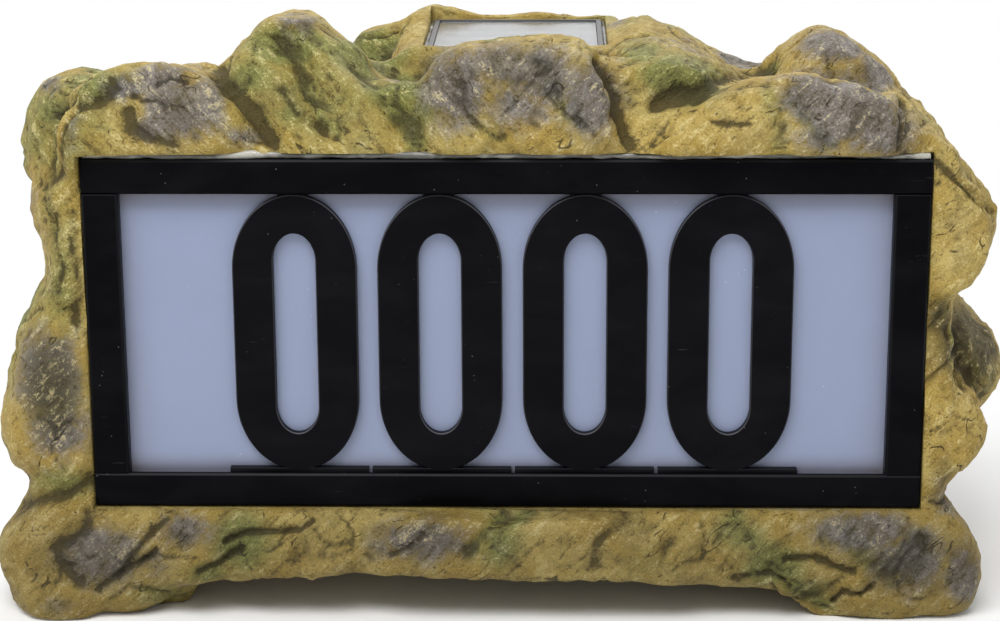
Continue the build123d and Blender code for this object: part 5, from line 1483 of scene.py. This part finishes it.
class SIGN_OT_rock(bpy.types.Operator):
    """Sculpt and paint the cast rock"""

    bl_idname = "sign.rock"
    bl_label = "Cast rock"

    def execute(self, context):
        make_rock(context.scene.sign.rock, context.scene.sign.stage)
        return {"FINISHED"}


class SIGN_OT_window(bpy.types.Operator):
    """Finish the rails, the stiles, the diffuser and the light box"""

    bl_idname = "sign.window"
    bl_label = "Window"

    def execute(self, context):
        make_window(context.scene.sign.window)
        return {"FINISHED"}


class SIGN_OT_numerals(bpy.types.Operator):
    """Finish the sliding numeral tiles"""

    bl_idname = "sign.numerals"
    bl_label = "Numeral tiles"

    def execute(self, context):
        make_numerals(context.scene.sign.window)
        return {"FINISHED"}


class SIGN_OT_sealant(bpy.types.Operator):
    """Lay the sealant over the top rail and round the solar module"""

    bl_idname = "sign.sealant"
    bl_label = "Sealant"

    def execute(self, context):
        make_sealant(context.scene.sign.window)
        return {"FINISHED"}


class SIGN_OT_solar(bpy.types.Operator):
    """Build the solar cells and finish their window and tray"""

    bl_idname = "sign.solar"
    bl_label = "Solar module"

    def execute(self, context):
        make_solar(context.scene.sign.solar)
        return {"FINISHED"}


class SIGN_OT_rear(bpy.types.Operator):
    """Finish the rear plate, its door, its gasket and the switch"""

    bl_idname = "sign.rear"
    bl_label = "Rear plate"

    def execute(self, context):
        make_rear(context.scene.sign.rear)
        return {"FINISHED"}


class SIGN_OT_screws(bpy.types.Operator):
    """Build every screw"""

    bl_idname = "sign.screws"
    bl_label = "Screws"

    def execute(self, context):
        make_screws(context.scene.sign.rear)
        return {"FINISHED"}


class SIGN_OT_cells(bpy.types.Operator):
    """Finish the cells and their contacts"""

    bl_idname = "sign.cells"
    bl_label = "Cells"

    def execute(self, context):
        make_cells(context.scene.sign.rear)
        return {"FINISHED"}


class SIGN_OT_boards(bpy.types.Operator):
    """Finish the circuit boards, the LEDs and the leads"""

    bl_idname = "sign.boards"
    bl_label = "Boards and leads"

    def execute(self, context):
        make_boards(context.scene.sign.rear)
        return {"FINISHED"}


OPERATORS = (SIGN_OT_stage, SIGN_OT_rock, SIGN_OT_window, SIGN_OT_numerals, SIGN_OT_sealant, SIGN_OT_solar,
             SIGN_OT_rear, SIGN_OT_screws, SIGN_OT_cells, SIGN_OT_boards)
SETTINGS = (RockSettings, WindowSettings, SolarSettings, RearSettings, StageSettings, SignSettings)


class SIGN_PT_panel(bpy.types.Panel):
    """The sign's pieces and their settings"""

    bl_idname = "SIGN_PT_panel"
    bl_label = "House number sign"
    bl_space_type = "VIEW_3D"
    bl_region_type = "UI"
    bl_category = "House sign"

    def draw(self, context):
        for operator in OPERATORS:
            self.layout.operator(operator.bl_idname)
        for group in ("rock", "window", "solar", "rear", "stage"):
            settings = getattr(context.scene.sign, group)
            box = self.layout.box()
            box.label(text=group.capitalize())
            for name in settings.bl_rna.properties.keys():
                if name not in ("rna_type", "name"):
                    box.prop(settings, name)


def register():
    for item in (*SETTINGS, *OPERATORS, SIGN_PT_panel):
        bpy.utils.register_class(item)
    bpy.types.Scene.sign = PointerProperty(type=SignSettings)


def unregister():
    del bpy.types.Scene.sign
    for item in reversed((*SETTINGS, *OPERATORS, SIGN_PT_panel)):
        bpy.utils.unregister_class(item)


def main():
    """Register the add-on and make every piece."""
    register()
    for operator in OPERATORS:
        group, name = operator.bl_idname.split(".")
        getattr(getattr(bpy.ops, group), name)()


if __name__ == "__main__":
    main()
